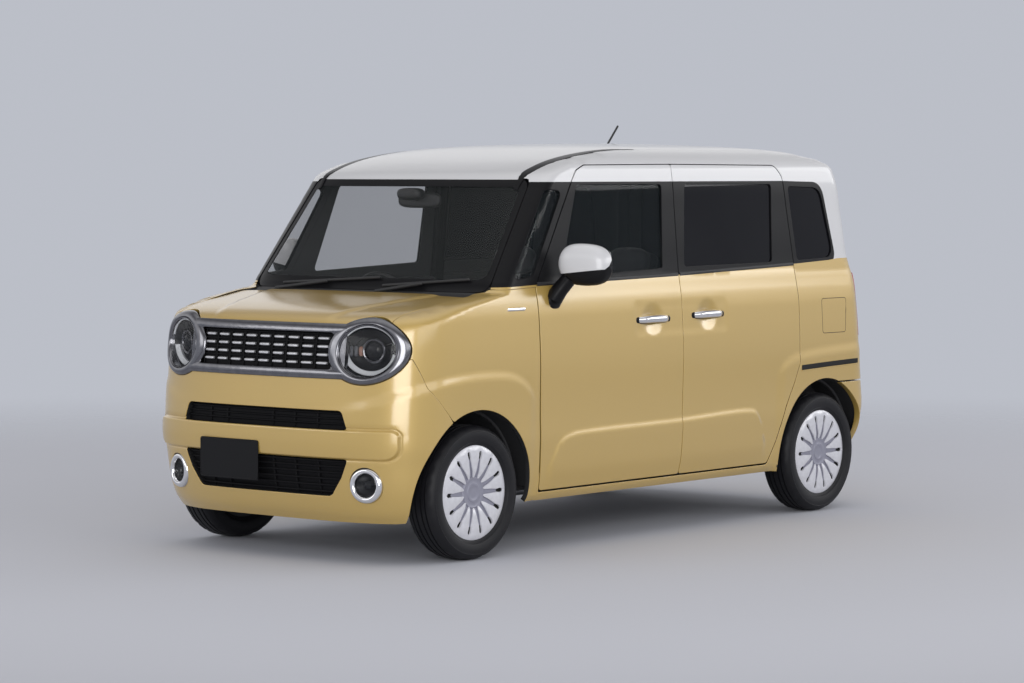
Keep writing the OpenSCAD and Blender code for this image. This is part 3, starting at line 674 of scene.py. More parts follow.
def noise(m, scale, detail=3.0):
    tree = m.node_tree
    n = tree.nodes.new("ShaderNodeTexNoise")
    n.inputs["Scale"].default_value = scale
    n.inputs["Detail"].default_value = detail
    place = tree.nodes.new("ShaderNodeTexCoord")
    tree.links.new(place.outputs["Object"], n.inputs["Vector"])
    return n


def grain(m, scale, strength, distance=0.001):
    """Fine surface relief."""
    tree = m.node_tree
    b = tree.nodes.new("ShaderNodeBump")
    b.inputs["Strength"].default_value = strength
    b.inputs["Distance"].default_value = distance
    tree.links.new(noise(m, scale).outputs["Fac"], b.inputs["Height"])
    tree.links.new(b.outputs["Normal"], tree.nodes["Principled BSDF"].inputs["Normal"])
    return m


def mottle(m, scale, a, b):
    """Base colour that wanders between two colours."""
    tree = m.node_tree
    ramp_node = tree.nodes.new("ShaderNodeValToRGB")
    ramp_node.color_ramp.elements[0].position = 0.35
    ramp_node.color_ramp.elements[1].position = 0.65
    ramp_node.color_ramp.elements[0].color = (*a, 1)
    ramp_node.color_ramp.elements[1].color = (*b, 1)
    tree.links.new(noise(m, scale).outputs["Fac"], ramp_node.inputs["Fac"])
    tree.links.new(ramp_node.outputs["Color"], tree.nodes["Principled BSDF"].inputs["Base Color"])
    return m


CLEAR_COAT = dict(Coat_Weight=1.0, Coat_Roughness=0.16, Coat_IOR=1.8)
GOLD = mottle(material("paint_gold", (0.53, 0.355, 0.088), 0.42, 0.3, **CLEAR_COAT), 1400,
              (0.51, 0.34, 0.083), (0.55, 0.37, 0.093))
WHITE = mottle(material("paint_white", (0.63, 0.63, 0.64), 0.35, 0.0, Coat_Weight=0.6, Coat_Roughness=0.04),
               900, (0.615, 0.615, 0.625), (0.645, 0.645, 0.655))
# Gloss black also serves as painted shade: on the walls down into the side panels' gaps, on the door posts
# below the belt and under the door handles' grips.
GLOSS_BLACK = mottle(material("gloss_black", (0.008, 0.008, 0.009), 0.3, Specular_IOR_Level=0.14), 300,
                     (0.007, 0.007, 0.008), (0.009, 0.009, 0.010))
# Black plastic also serves as painted shade on the walls down into the front bumper's openings.
PLASTIC = grain(material("black_plastic", (0.018, 0.018, 0.019), 0.5), 900, 0.25)
TRIM_GREY = grain(material("inner_trim", (0.06, 0.06, 0.063), 0.62), 700, 0.25)
LINER_CLOTH = grain(material("headliner", (0.42, 0.41, 0.39), 0.9), 1500, 0.3)
CHROME = mottle(material("chrome", (0.80, 0.80, 0.82), 0.07, 1.0), 60, (0.77, 0.77, 0.79),
                (0.83, 0.83, 0.85))
SMOKE = mottle(material("smoked_chrome", (0.20, 0.20, 0.215), 0.15, 1.0), 40, (0.185, 0.185, 0.20),
               (0.22, 0.22, 0.235))
SILVER = mottle(material("silver_paint", (0.62, 0.62, 0.64), 0.3, 0.7), 80, (0.58, 0.58, 0.60),
                (0.66, 0.66, 0.68))
GLASS = mottle(material("clear_glass", (0.012, 0.022, 0.022), 0.02, 0.0, 0.10, IOR=2.2), 3,
               (0.012, 0.021, 0.021), (0.013, 0.023, 0.023))
SIDE_GLASS = mottle(material("side_glass", (0.010, 0.016, 0.018), 0.02, 0.0, 0.24, IOR=1.4), 3,
                    (0.010, 0.015, 0.017), (0.011, 0.017, 0.019))
DARK_GLASS = mottle(material("tinted_glass", (0.006, 0.006, 0.008), 0.03, 0.0, 0.94, IOR=1.28), 3,
                    (0.005, 0.005, 0.007), (0.007, 0.007, 0.009))
LENS = mottle(material("lamp_lens", (0.02, 0.022, 0.026), 0.02, 0.0, 0.14, IOR=1.7), 8,
              (0.019, 0.021, 0.025), (0.021, 0.023, 0.027))
BOWL = grain(material("lamp_bowl", (0.006, 0.006, 0.007), 0.3, 0.0, Specular_IOR_Level=0.3), 200, 0.1)
LIGHT_RING = mottle(material("lamp_light_ring", (0.9, 0.92, 0.95), 0.25, 0.0, Coat_Weight=0.5), 50,
                    (0.88, 0.90, 0.93), (0.92, 0.94, 0.97))
EYE = mottle(material("projector_glass", (0.008, 0.009, 0.012), 0.04, 0.0, IOR=1.35), 30,
             (0.007, 0.008, 0.010), (0.010, 0.011, 0.014))
RED = mottle(material("red_lens", (0.36, 0.012, 0.014), 0.12, 0.0, Coat_Weight=0.8), 120,
             (0.30, 0.010, 0.012), (0.42, 0.016, 0.018))
TYRE = grain(material("tyre_rubber", (0.008, 0.008, 0.010), 0.5, Specular_IOR_Level=0.28), 240, 0.22)
COVER = mottle(material("cover_white", (0.74, 0.74, 0.78), 0.3, 0.12, Coat_Weight=0.4), 60,
               (0.60, 0.60, 0.64), (0.65, 0.65, 0.69))
HUB_GREY = grain(material("cover_grey", (0.27, 0.27, 0.33), 0.4, 0.2), 300, 0.1)
# Near-black for slots and gaps drawn as shallow grooves and lines: painted shade in them.
SLOT_SHADE = grain(material("painted_slot_shade", (0.006, 0.006, 0.006), 0.8), 200, 0.1)
# Under metal also serves as painted shade on the walls down into the wings' gaps and on the tailgate jambs.
UNDER = grain(mottle(material("under_metal", (0.03, 0.03, 0.032), 0.6, 0.2), 12, (0.026, 0.026, 0.028),
                     (0.036, 0.036, 0.038)), 180, 0.3)
STEEL = grain(material("steel", (0.22, 0.22, 0.23), 0.42, 0.9), 150, 0.15)
CAST = grain(material("cast_metal", (0.09, 0.09, 0.095), 0.6, 0.7), 120, 0.5)
ALUMINIUM = grain(material("engine_metal", (0.24, 0.24, 0.25), 0.5, 0.8), 90, 0.4)
CARPET = grain(material("carpet", (0.03, 0.03, 0.032), 0.95), 1100, 0.8, 0.003)
DASH = grain(material("dash_plastic", (0.028, 0.028, 0.031), 0.55), 800, 0.3)
DISPLAY = mottle(material("display_glass", (0.008, 0.009, 0.011), 0.08), 5, (0.007, 0.008, 0.010),
                 (0.010, 0.011, 0.013))
MIRROR = mottle(material("mirror_glass", (0.85, 0.87, 0.88), 0.02, 1.0), 4, (0.84, 0.86, 0.87),
                (0.86, 0.88, 0.89))
AMBER = mottle(material("amber_lens", (0.42, 0.20, 0.13), 0.2, 0.0, Coat_Weight=0.5), 90,
               (0.38, 0.18, 0.12), (0.46, 0.22, 0.14))
# Black plastic for the grille mesh and louvres, darkened as painted shade inside the openings; also the
# painted shade sheets behind them.
INTAKE_BLACK_AND_SHADE = grain(material("intake_black_and_painted_shade", (0.006, 0.006, 0.007), 0.6, Specular_IOR_Level=0.12), 300, 0.2)
PLATE = grain(material("plate_black", (0.006, 0.006, 0.007), 0.35, Specular_IOR_Level=0.2), 400, 0.1)
SEAT = grain(mottle(material("seat_cloth", (0.040, 0.040, 0.044), 0.9, Sheen_Weight=0.3), 40,
                    (0.040, 0.040, 0.044), (0.055, 0.055, 0.060)), 420, 0.5, 0.002)

# CAD nodes that stay in view
for names, m in ((("floor_pan",), CARPET), (("wheel_liners",), PLASTIC), (("wipers", "antenna"), PLASTIC),
                 (("front_suspension", "rear_axle"), CAST), (("knuckle_left", "knuckle_right", "exhaust"),
                                                             STEEL), (("engine",), ALUMINIUM),
                 (("fuel_tank",), UNDER)):
    for name in names:
        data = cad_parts[name].data
        data.materials.clear()
        data.materials.append(m)


# Body features, raised or sunk along the surface
def ramp(t):
    t = np.clip(t, 0, 1)
    return t * t * (3 - 2 * t)


def line_of(points, soft):
    p = np.array(points, float)
    return Column(p[:, 0], p[:, 1], soft)


FRONT_CREASE = line_of([(-1760, 560), (-1693, 625), (-1605, 698), (-1486, 740), (-1341, 764), (-1174, 773),
                        (-1017, 768), (-906, 734), (-849, 690), (-800, 630)], 25)
REAR_CREASE = line_of([(860, 640), (924, 706), (1042, 752), (1325, 774), (1553, 783), (1700, 786)], 25)
SILL_CREASE = line_of([(-760, 300), (-719, 382), (-694, 427), (-628, 481), (-528, 498), (151, 507),
                       (634, 521), (730, 513), (779, 453), (809, 372), (840, 300)], 12)
HANDLES = ((-28, 936), (370, 943))


def rounded_box_distance(a, b, centre, half, r):
    dx, dy = np.abs(a - centre[0]) - half[0] + r, np.abs(b - centre[1]) - half[1] + r
    return np.hypot(np.maximum(dx, 0), np.maximum(dy, 0)) + np.minimum(np.maximum(dx, dy), 0) - r


def flare(p):
    """Soft steps over the wheel arches."""
    y, z = p[:, 1], p[:, 2]
    front = ramp((FRONT_CREASE(y) - z) / 52) * ramp((y + 1705) / 130) * ramp((-812 - y) / 60)
    rear = ramp((REAR_CREASE(y) - z) / 55) * ramp((y - 885) / 80) * ramp((1640 - y) / 90)
    return 6.0 * front + 5.5 * rear


def shoulder(p):
    """Door bulge that rolls in towards the belt."""
    y, z = p[:, 1], p[:, 2]
    rise = ramp((z - 500) / 330) * (1 - np.clip((z - 975) / 150, 0, 1) ** 1.6)
    return 9 * rise * ramp((y + 1430) / 220) * ramp((1660 - y) / 140)


def side_bump(p):
    y, z = p[:, 1], p[:, 2]
    d = flare(p) + shoulder(p)
    sill = ramp((SILL_CREASE(y) - z) / 34) * ramp((z - 252) / 90)
    d += 5.5 * sill * ramp((y + 745) / 50) * ramp((840 - y) / 50)
    zone = rounded_box_distance(y, z, (180, 937), (352, 86), 46)
    d -= 2.0 * ramp(-zone / 44)
    for cy, cz in HANDLES:
        r2 = ((y - cy) / 88) ** 2 + ((z - cz) / 74) ** 2
        d -= 12 * np.clip(1 - r2, 0, 1) ** 2
    d -= 16 * ramp((240 - z) / 60) * ramp((y + 900) / 60) * ramp((960 - y) / 60)
    return d


def hood_bump(p):
    x, y = np.abs(p[:, 0]), p[:, 1]
    edge = np.interp(y, [-1640, -1150], [330, 500])
    return 6 * ramp((edge - x) / 45) * ramp((y + 1650) / 90)


BAR_HW, BAR_Z0, BAR_Z1, BAR_R0, BAR_R1 = 657.0, 431.0, 543.0, 50.0, 24.0


def bar_distance(p):
    """Distance to the bumper bar's edge in the front view."""
    mid, half = (BAR_Z0 + BAR_Z1) / 2, (BAR_Z1 - BAR_Z0) / 2
    return rounded_box_distance(p[:, 0], p[:, 2], (0, mid), (BAR_HW, half),
                                np.where(p[:, 2] < mid, BAR_R0, BAR_R1))


def nose_bump(p):
    d = bar_distance(p)
    return flare(p) + 11 * ramp((4 - d) / 8) - 3 * np.exp(-((d - 8) / 4) ** 2)


# Places on the body surface
YAW = math.radians(15)
AXIS = np.array([math.sin(YAW), -math.cos(YAW), 0.0])
ACROSS = np.array([math.cos(YAW), math.sin(YAW), 0.0])
UP = np.array([0.0, 0.0, 1.0])
LAMP_X, LAMP_Z, LAMP_RX, LAMP_RZ = 513.0, 857.0, 168.0, 134.0
LENS_X, LENS_RX, LENS_RZ = 520.0, 119.0, 104.0
FOG_X, FOG_Z, FOG_R = 526.0, 325.0, 73.0
FOG_C = np.array([FOG_X, float(front_y(FOG_X, FOG_Z)), FOG_Z])


def disc_loop(centre, r, n=80):
    """Where a round lamp's edge meets the body surface."""
    a = np.arange(n) * 2 * math.pi / n
    base = centre + r * (np.cos(a)[:, None] * ACROSS + np.sin(a)[:, None] * UP)
    lo, hi = np.full(n, -260.0), np.full(n, 260.0)
    for _ in range(40):
        mid = (lo + hi) / 2
        p = base + AXIS * mid[:, None]
        within = (np.abs(p[:, 0]) < ring_at(p[:, 2])[0]) & (p[:, 1] > front_y(p[:, 0], p[:, 2]))
        lo, hi = np.where(within, mid, lo), np.where(within, hi, mid)
    return base + AXIS * ((lo + hi) / 2)[:, None]


def oval_loop(grow_by, n=104):
    """Edge of a headlamp opening on the body surface."""
    a = np.arange(n) * 2 * math.pi / n
    x, z = LAMP_X + (LAMP_RX + grow_by) * np.cos(a), LAMP_Z + (LAMP_RZ + grow_by) * np.sin(a)
    return np.stack([x, front_y(x, z), z], 1)


def to_side(p):
    return np.array([uz_front(x, z) for x, _, z in p])


def to_nose(p):
    return np.array([vz(uz_front(x, z)) for x, _, z in p])


def front_view_to_nose(points):
    out = []
    for x, z in points:
        v, _ = vz(uz_front(abs(x), z))
        out.append((math.copysign(v, x), z))
    return np.array(out)


def flip(points):
    return np.array([(-a, b) for a, b in points])[::-1]


def two_sided(half):
    """Closed outline from its left half, listed from the top middle to the bottom middle."""
    h = np.array(half, float)
    return np.concatenate([h, flip(h)[1:-1]]) if abs(h[0][0]) < 1e-6 else np.concatenate([h, flip(h)])


def arch(cy, r, a0, a1, n=44):
    return [(cy + r * math.cos(math.radians(a)), WHEEL_R + r * math.sin(math.radians(a)))
            for a in np.linspace(a0, a1, n)]


def straight(a, b, n):
    return [(a[0] + (b[0] - a[0]) * k / n, a[1] + (b[1] - a[1]) * k / n) for k in range(n)]


# Front wings
def hood_x(y):
    return np.interp(y, [-1750, -1500, -1139], [600, 605, 640])


wing = [uz_plan(float(hood_x(y)) + GAP - 1, y) for y in np.linspace(-1588, -1139, 40)]
wing += [uz_front(x, z) for x, z in ((652, 1074), (660, 1085))]
wing += [(-1000, 1085), (-805.5, 1092), (-802.5, 700), (-787.5, 258), (-787.5, 210)]
wing += [uz_side(*c) for c in arch(AXLE_F, ARCH_F, -10.9, 117.4)]
for a, b in (((-1350, 580), (-1474, 710)), ((-1474, 710), (-1524, 829))):
    wing += [uz_side(*c) for c in straight(a, b, 6)]
wing += [uz_side(-1524, 829), uz_front(560, 829), uz_front(598, 842)]
lamp_hole = oval_loop(3)
# Walls down into the wing's gaps and openings take the dark under metal: painted shade in the gaps.
wing_mesh = panel(side_map, dense(wing), [to_side(lamp_hole)], step=18,
                  fine=[(-1330, -800, 1020, 1096, 7), (-1640, -800, 640, 790, 11)], depth=22,
                  bump=side_bump, inner=1, gap_shade=1)
make("wings", both(wing_mesh), [GOLD, UNDER], nodes=["fenders"])

# Body sides
BELT = [(-1100, 1094), (-791, 1104), (187, 1122), (1071, 1149), (1343, 1160), (1420, 1167), (2600, 1180)]
ROOF_LINE = 1527.0
BODY_MATS = [GOLD, WHITE, GLOSS_BLACK, TRIM_GREY]


def belt(y):
    return np.interp(y, [b[0] for b in BELT], [b[1] for b in BELT])


def screen_edge(z):
    return 662 - 60 * (z - 1078) / 462


def gate_edge(z):
    return 650 - 50 * (z - 1125) / 463


DOOR_HOLE = [(-781.5, 242.5), (-800.5, 700), (-803.5, 1095), (-524.5, 1525), (-483, 1578.5), (-421, 1601.5),
             (185, 1605.5), (966.5, 1601.5), (1019.5, 1546.5), (1065.5, 1160), (1074.5, 1000),
             (1074.5, 699), (1033, 608), (968.5, 498), (908.5, 348), (852, 242.5)]
DOOR_ROUND = [14, 60, 8, 50, 40, 40, 10, 60, 60, 80, 80, 60, 80, 80, 60, 25]
QUARTER = rounded([(1092, 1163), (1392, 1172), (1312, 1496), (1052, 1504)], [22, 62, 80, 22], 10)
QUARTER_EDGE = rounded([(1000, 1150), (1408, 1150), (1324, 1521), (1000, ROOF_LINE)], [1, 52, 95, 1], 10)
PILLAR = rounded([(-948, 1124), (-808, 1138), (-582, 1492), (-688, 1498)], 26, 10)

side = [(-785, 1097), (-1000, 1089)]
side += [uz_front(screen_edge(z) + 4, z) for z in np.arange(1090, 1516, 30)]
side += [uz_front(x, z) for x, z in ((603, 1530), (597, 1539), (586, 1543))]
side += [uz_front(x, 1543.5) for x in (575, 566, 559)]
side += [uz_plan(559, y) for y in np.arange(float(front_y(559, 1546)) + 8, 1440, 45)]
side += [uz_plan(559, 1474), uz_plan(585, 1474), uz_plan(604, 1477)]
side += [uz_rear(gate_edge(z) + 6, z) for z in np.arange(1560, 1124, -40)]
side += [uz_rear(x, z) for x, z in ((656, 1122), (640, 1113), (603, 1102), (600, 1095))]
side += [uz_side(1557, 1095), uz_side(1557, 803)]
side += [uz_rear(598, 803), uz_rear(594, 700), uz_rear(592, 601)]
side += [uz_side(1600, 600), (1450, 600)]
side += [uz_side(*c) for c in arch(AXLE_R, ARCH_R, 71.5, 191.2, 60)]
side += [(938, 208), (-785, 208)]
side_cuts = [rounded(DOOR_HOLE, DOOR_ROUND), QUARTER, PILLAR]


def side_paint(p):
    y, z = p[:, 1], p[:, 2]
    q = np.stack([y, z], 1)
    out = np.ones(len(p), int)
    black = ((y < 1088) & (z < ROOF_LINE)) | inside(QUARTER_EDGE, q)
    out[black] = 2
    out[z < belt(y)] = 0
    return out


side_lines = [dense([(-1130, 1093)] + BELT[1:-1] + [(1900, 1172)], 20, False),
              dense([(-830, ROOF_LINE), (-500, ROOF_LINE)], 20, False), QUARTER_EDGE]
# Walls down into the side panels' door, window and edge gaps are gloss black: painted shade in the gaps.
side_mesh = panel(side_map, dense(side), side_cuts, side_lines, step=22,
                  fine=[(880, 1660, 660, 800, 11), (-1000, -430, 1095, 1600, 11)], depth=20, bump=side_bump,
                  paint=side_paint, inner=3, gap_shade=2)
make("side_panels", both(side_mesh), BODY_MATS, nodes=["side_frames"])

# Doors
FRONT_DOOR = [(-773.5, 253.5), (-791.5, 700), (-796.5, 1093), (-517.5, 1521), (-477, 1572), (-419, 1594.5),
              (181.5, 1598.5), (181.5, 253.5)]
REAR_DOOR = [(188.5, 253.5), (188.5, 1598.5), (963.5, 1594.5), (1012.5, 1543), (1058.5, 1160),
             (1067.5, 1000), (1067.5, 701), (1027, 612), (961.5, 502), (901.5, 352), (848, 253.5)]
FRONT_WINDOW = rounded([(-630, 1126), (75, 1152), (105, 1516), (-487, 1516)], [24, 20, 22, 40], 10)
REAR_WINDOW = rounded([(228, 1154), (895, 1160), (926, 1514), (268, 1516)], [20, 24, 24, 22], 10)


def door_paint(p):
    y, z = p[:, 1], p[:, 2]
    return np.where(z < belt(y), 0, np.where(z < ROOF_LINE, 2, 1))


def door_lines(y0, y1):
    ys = np.linspace(y0, y1, 40)
    return [np.stack([ys, belt(ys)], 1), np.stack([ys, np.full(40, ROOF_LINE)], 1)]


def handle_grid(cy, cz):
    return (cy - 92, cy + 92, cz - 92, cz + 92, 8)


front_door = panel(side_map, rounded(FRONT_DOOR, [14, 60, 8, 50, 40, 40, 8, 12]), [FRONT_WINDOW],
                   door_lines(-820, 200), step=20, fine=[handle_grid(*HANDLES[0]), (-745, 180, 450, 520, 9),
                                                         (-180, 180, 845, 1040, 13)], depth=14,
                   bump=side_bump, paint=door_paint, inner=3)
rear_door = panel(side_map, rounded(REAR_DOOR, [12, 8, 60, 60, 80, 80, 60, 80, 80, 60, 25]), [REAR_WINDOW],
                  door_lines(180, 1090), step=20, fine=[handle_grid(*HANDLES[1]), (190, 830, 450, 530, 9),
                                                        (190, 560, 845, 1040, 13)], depth=14,
                  bump=side_bump, paint=door_paint, inner=3)
make_doors("door_skin", front_door, BODY_MATS, "front_door")
make("sliding_door_skins", both(rear_door), BODY_MATS, "body", ["rear_doors"])

# Side glass, tucked behind the window edges
GLASS_SINK, GLASS_T = 7.0, 4.0


def pane(outline, number=0):
    return panel(side_map, grow(outline, 7), step=40, depth=GLASS_T, roll=0.5, sink=GLASS_SINK,
                 inner=number, paint=all_of(number))


make_doors("door_pane", pane(FRONT_WINDOW), [SIDE_GLASS], "front_glass")
fixed = joined(pane(REAR_WINDOW), pane(QUARTER), pane(PILLAR, 1))
make("fixed_panes", both(fixed), [DARK_GLASS, SIDE_GLASS], "body", ["fixed_side_glass"])

# Roof, hood and cowl
roof_front = [(x, float(front_y(x, 1544))) for x in np.linspace(-552, 552, 60)]
roof = rounded(roof_front + [(552, 1476), (-552, 1476)], 12, 16)
make("roof_skin", panel(roof_map, roof, step=24, depth=16, roll=2.5, inner=1), [WHITE, LINER_CLOTH],
     nodes=["roof_panel"])
hood_edge = [(x, float(front_y(x, 966.5))) for x in np.linspace(-600, 600, 70)]
hood_out = hood_edge + [(float(hood_x(y)) - GAP, y) for y in np.linspace(-1540, -1143, 14)]
hood_out += [(-float(hood_x(y)) + GAP, y) for y in np.linspace(-1143, -1540, 14)]
hood_hole = oval_loop(5)[:, :2]
hood_mesh = panel(hood_map, dense(hood_out), [hood_hole, flip(hood_hole)], step=22, depth=18,
                  bump=hood_bump, inner=1)
make("hood_skin", hood_mesh, [GOLD, UNDER], "hood_lid", ["hood"])
cowl_rear = [(x, float(front_y(x, 1079)) - 2) for x in np.linspace(636, -636, 40)]
cowl_mesh = panel(hood_map, dense(cowl_rear + [(-636, -1137), (636, -1137)]), step=24, depth=10, sink=6,
                  inner=0)
make("cowl_cover", cowl_mesh, [PLASTIC], nodes=["cowl"])

# Windshield with a black border
screen = rounded(four(660, 1080, 600.5, 1538), 48)
screen_clear = rounded(four(630, 1128, 576, 1508), 40)
screen_mesh = panel(screen_map, screen, lines=[closed_line(screen_clear)], step=30, depth=5, roll=0.8,
                    sink=3, paint=lambda p: np.where(inside(screen_clear, p[:, [0, 2]]), 0, 1), inner=0)
make("windshield_glass", screen_mesh, [GLASS, GLOSS_BLACK], nodes=["windshield"])

# Front bumper
UPPER_SLOT = rounded(four(460, BAR_Z1, 430, 622), [12, 12, 28, 28])
LOWER_INTAKE = rounded([(-366, 272), (366, 272), (424, 350), (460, BAR_Z0 - 4), (-460, BAR_Z0 - 4),
                        (-424, 350)], [40, 40, 60, 14, 14, 60])
half = [(0, 743), vz(uz_front(470, 743)), vz(uz_front(478, 743)), vz(uz_front(478, 824)),
        vz(uz_front(560, 825))]
half.append(vz(uz_side(-1527.5, 825)))
for a, b in (((-1525, 820), (-1478, 708)), ((-1478, 708), (-1353, 577))):
    half += [vz(uz_side(*c)) for c in straight(a, b, 6)]
half += [vz(uz_side(*c)) for c in arch(AXLE_F, ARCH_F, 119.4, 197)]
half += [vz(uz_front(600, 172)), (0, 172)]
fog_hole = to_nose(disc_loop(FOG_C, FOG_R + 1.5, 56))
lamp_nose = to_nose(lamp_hole)
grille_hole = front_view_to_nose(dense(four(433, 743.5, 433, 970)))
bar_lines = []
for off in (-8, -4, 0, 4, 7, 10, 15):
    x, z0, z1, r0, r1 = BAR_HW + off, BAR_Z0 - off, BAR_Z1 + off, BAR_R0 + off, BAR_R1 + off
    rect = rounded(four(x, z0, x, z1), [r0, r0, r1, r1], 9)
    bar_lines.append(closed_line(front_view_to_nose(rect)))
# Walls down into the bumper's openings and edges are black plastic: painted shade inside them.
nose_mesh = panel(nose_map, dense(two_sided(half)),
                  [front_view_to_nose(UPPER_SLOT), front_view_to_nose(LOWER_INTAKE), fog_hole,
                   flip(fog_hole), lamp_nose, flip(lamp_nose), grille_hole], bar_lines, step=22, depth=26,
                  roll=2.5, bump=nose_bump, inner=1, gap_shade=1)
make("front_bumper_skin", nose_mesh, [GOLD, PLASTIC], nodes=["front_bumper"])

# Rear bumper, tailgate and tail lamps
half = [(0, 589), vz(uz_side(1560, 589), False)]
half += [vz(uz_side(*c), False) for c in arch(AXLE_R, ARCH_R, 66.2, -16.5)]
half += [vz(uz_rear(700, 174), False), (0, 174)]
LOW_TRIM = 262.0
tail_mesh = panel(tail_map, dense(two_sided(half)), lines=[across(1500, LOW_TRIM, 24)], step=24,
                  depth=26, roll=2.5, bump=flare, paint=lambda p: (p[:, 2] < LOW_TRIM).astype(int), inner=1)
make("rear_bumper_skin", tail_mesh, [GOLD, PLASTIC], nodes=["rear_bumper"])
REAR_PLATE_Z, GATE_BELT = 842.0, 1126.0
GATE_TOP = [(598, 1571), (552, 1586.5), (500, 1593), (400, 1598.5), (200, 1601)]
GATE = [(-582, 603), (582, 603), (589, 1104), (646, 1124)] + GATE_TOP + [(-x, z) for x, z in GATE_TOP[::-1]]
GATE += [(-646, 1124), (-589, 1104)]
REAR_GLASS = rounded(four(545, 1150, 512, 1498), 48, 12)
GATE_BLACK = rounded(four(592, 1128, 556, 1524), 60)


def gate_bump(p):
    x, z = p[:, 0], p[:, 2]
    recess = rounded_box_distance(x, z, (0, REAR_PLATE_Z), (232, 98), 26)
    return -14 * ramp(-recess / 16)


def gate_paint(p):
    out = np.where(p[:, 2] < GATE_BELT, 0, 1)
    out[inside(GATE_BLACK, p[:, [0, 2]])] = 2
    return out


gate_lines = [across(700, GATE_BELT, 20), closed_line(GATE_BLACK)]
GATE_ROUND = [14, 14, 20, 20, 20] + [10] * 8 + [20, 20, 20]
gate_mesh = panel(gate_map, rounded(GATE, GATE_ROUND), [REAR_GLASS], gate_lines, step=22,
                  fine=[(-260, 260, 730, 955, 9)], depth=10, bump=gate_bump, paint=gate_paint, inner=3)
make("tailgate_skin", gate_mesh, BODY_MATS, "tailgate_lid", ["tailgate"])
gate_pane = panel(gate_map, grow(REAR_GLASS, 8), step=40, depth=GLASS_T, roll=0.5, sink=GLASS_SINK)
make("tailgate_pane", gate_pane, [DARK_GLASS], "tailgate_lid", ["tailgate_glass"])
tail = [uz_side(1560, 1092), uz_side(1560, 806)] + [uz_rear(x, 806) for x in (690, 660, 630, 601)]
tail += [uz_rear(x, 1092) for x in (604, 630, 660, 690)]
tail_outline = rounded(tail, 8)
tail_lamp = panel(side_map, tail_outline, step=16, depth=30, roll=4, sink=-8, inner=1)
make("tail_lamp_lenses", both(tail_lamp), [RED, UNDER], nodes=["tail_lamps"])


# Helpers for fittings
def partial_lathe(profile, a0, a1, segs=40, number=0):
    """Turned shape over part of a turn, closed at its ends. Angles in degrees."""
    profile = wound(profile)
    k = len(profile)
    angles = [math.radians(a0 + (a1 - a0) * s / segs) for s in range(segs + 1)]
    return solid(spun(profile, angles), strips(segs + 1, k, True) + ends(segs + 1, k, True), number)


def surface_y(x, z, out=0.0):
    return float(front_y(x, z)) - out


# Headlamps: smoked rings that follow the body, black bowls, projector, bright arcs, clear covers
LENS_AT = 0.72


def lamp_row(t, h, segs):
    """Points round a headlamp: share of the way from lens centre to ring edge, height above the body."""
    a = np.arange(segs) * 2 * math.pi / segs
    shares = [0, LENS_AT, 1]
    cx = np.interp(t, shares, [LENS_X, LENS_X, LAMP_X])
    rx, rz = np.interp(t, shares, [0, LENS_RX, LAMP_RX]), np.interp(t, shares, [0, LENS_RZ, LAMP_RZ])
    p, n = surface(screen_map, np.stack([cx + rx * np.cos(a), LAMP_Z + rz * np.sin(a)], 1))
    return p + n * h


def lamp_loop(profile, number, segs=120):
    """Ring swept round a headlamp from (share, height) points."""
    g = np.stack([lamp_row(t, h, segs) for t, h in profile], 1)
    return solid(g.reshape(-1, 3), strips(segs, len(profile), loop=True), number)


ring_profile = [(0.722, -34), (0.724, 0), (0.730, 5), (0.745, 8.4), (0.775, 10), (0.83, 10.6), (0.89, 9.8),
                (0.94, 7.4), (0.975, 3.6), (0.995, -1), (1.0, -6), (1.0, -34)]
bezel_profile = [(0.690, -8), (0.694, 3), (0.702, 6.6), (0.714, 8.2), (0.726, 6), (0.728, -8)]
make("lamp_rings", both(joined(lamp_loop(ring_profile, 0), lamp_loop(bezel_profile, 0))), [SMOKE],
     nodes=["headlamps"])
LENS_C = np.array([LENS_X, float(front_y(LENS_X - LENS_RX, LAMP_Z) + front_y(LENS_X + LENS_RX, LAMP_Z)) / 2,
                   LAMP_Z])
LENS_YAW = math.radians(19)
LENS_ROWS = np.array([[math.cos(LENS_YAW), math.sin(LENS_YAW), 0], [0, 0, 1],
                      [math.sin(LENS_YAW), -math.cos(LENS_YAW), 0]])
STRETCH = np.array([1.2, 1.0, 1.0])


def moved(mesh, by):
    v, f, n, m = mesh
    return v + np.array(by, float), f, n, m


bowl = lathe([(0, -62), (45, -61), (72, -54), (90, -38), (100, -14), (104, -14), (104, -70), (0, -70)], 80,
             0)
eye_ring = lathe([(36, -58), (38, -26), (41, -20), (46, -18), (50, -22), (51, -36), (55, -58)], 64, 1)
eye = lathe([(0, -12), (12, -13), (24, -16.5), (32, -22), (37.5, -31), (37.5, -48), (0, -48)], 64, 2)
EYE_AT = np.array([16.0, 2.0, 0.0])
low_arc = partial_lathe([(80, -26), (93, -12), (97, -13), (97, -26), (84, -38)], 186, 352, 70, 3)
high_arc = partial_lathe([(95, -9), (99, -5), (101, -8), (97, -14)], 18, 162, 70, 3)
brow = partial_lathe([(58, -30), (88, -14), (92, -18), (92, -36), (60, -48)], 24, 156, 60, 0)
wide_parts = joined(bowl, low_arc, high_arc, brow)
wide_parts = (wide_parts[0] * STRETCH,) + wide_parts[1:]
fins = [box(x - 7, x + 7, -22, 20, -44, -20, 3, 1) for x in (-82, -62)]
reflector = blob((-44, -2, -34), (10, 20, 10), 2.6, 14, 22, 4)
lamp_inside = placed(joined(wide_parts, moved(eye_ring, EYE_AT), moved(eye, EYE_AT), reflector, *fins),
                     LENS_ROWS, LENS_C)
make("lamp_insides", both(lamp_inside), [BOWL, SMOKE, EYE, LIGHT_RING, AMBER])


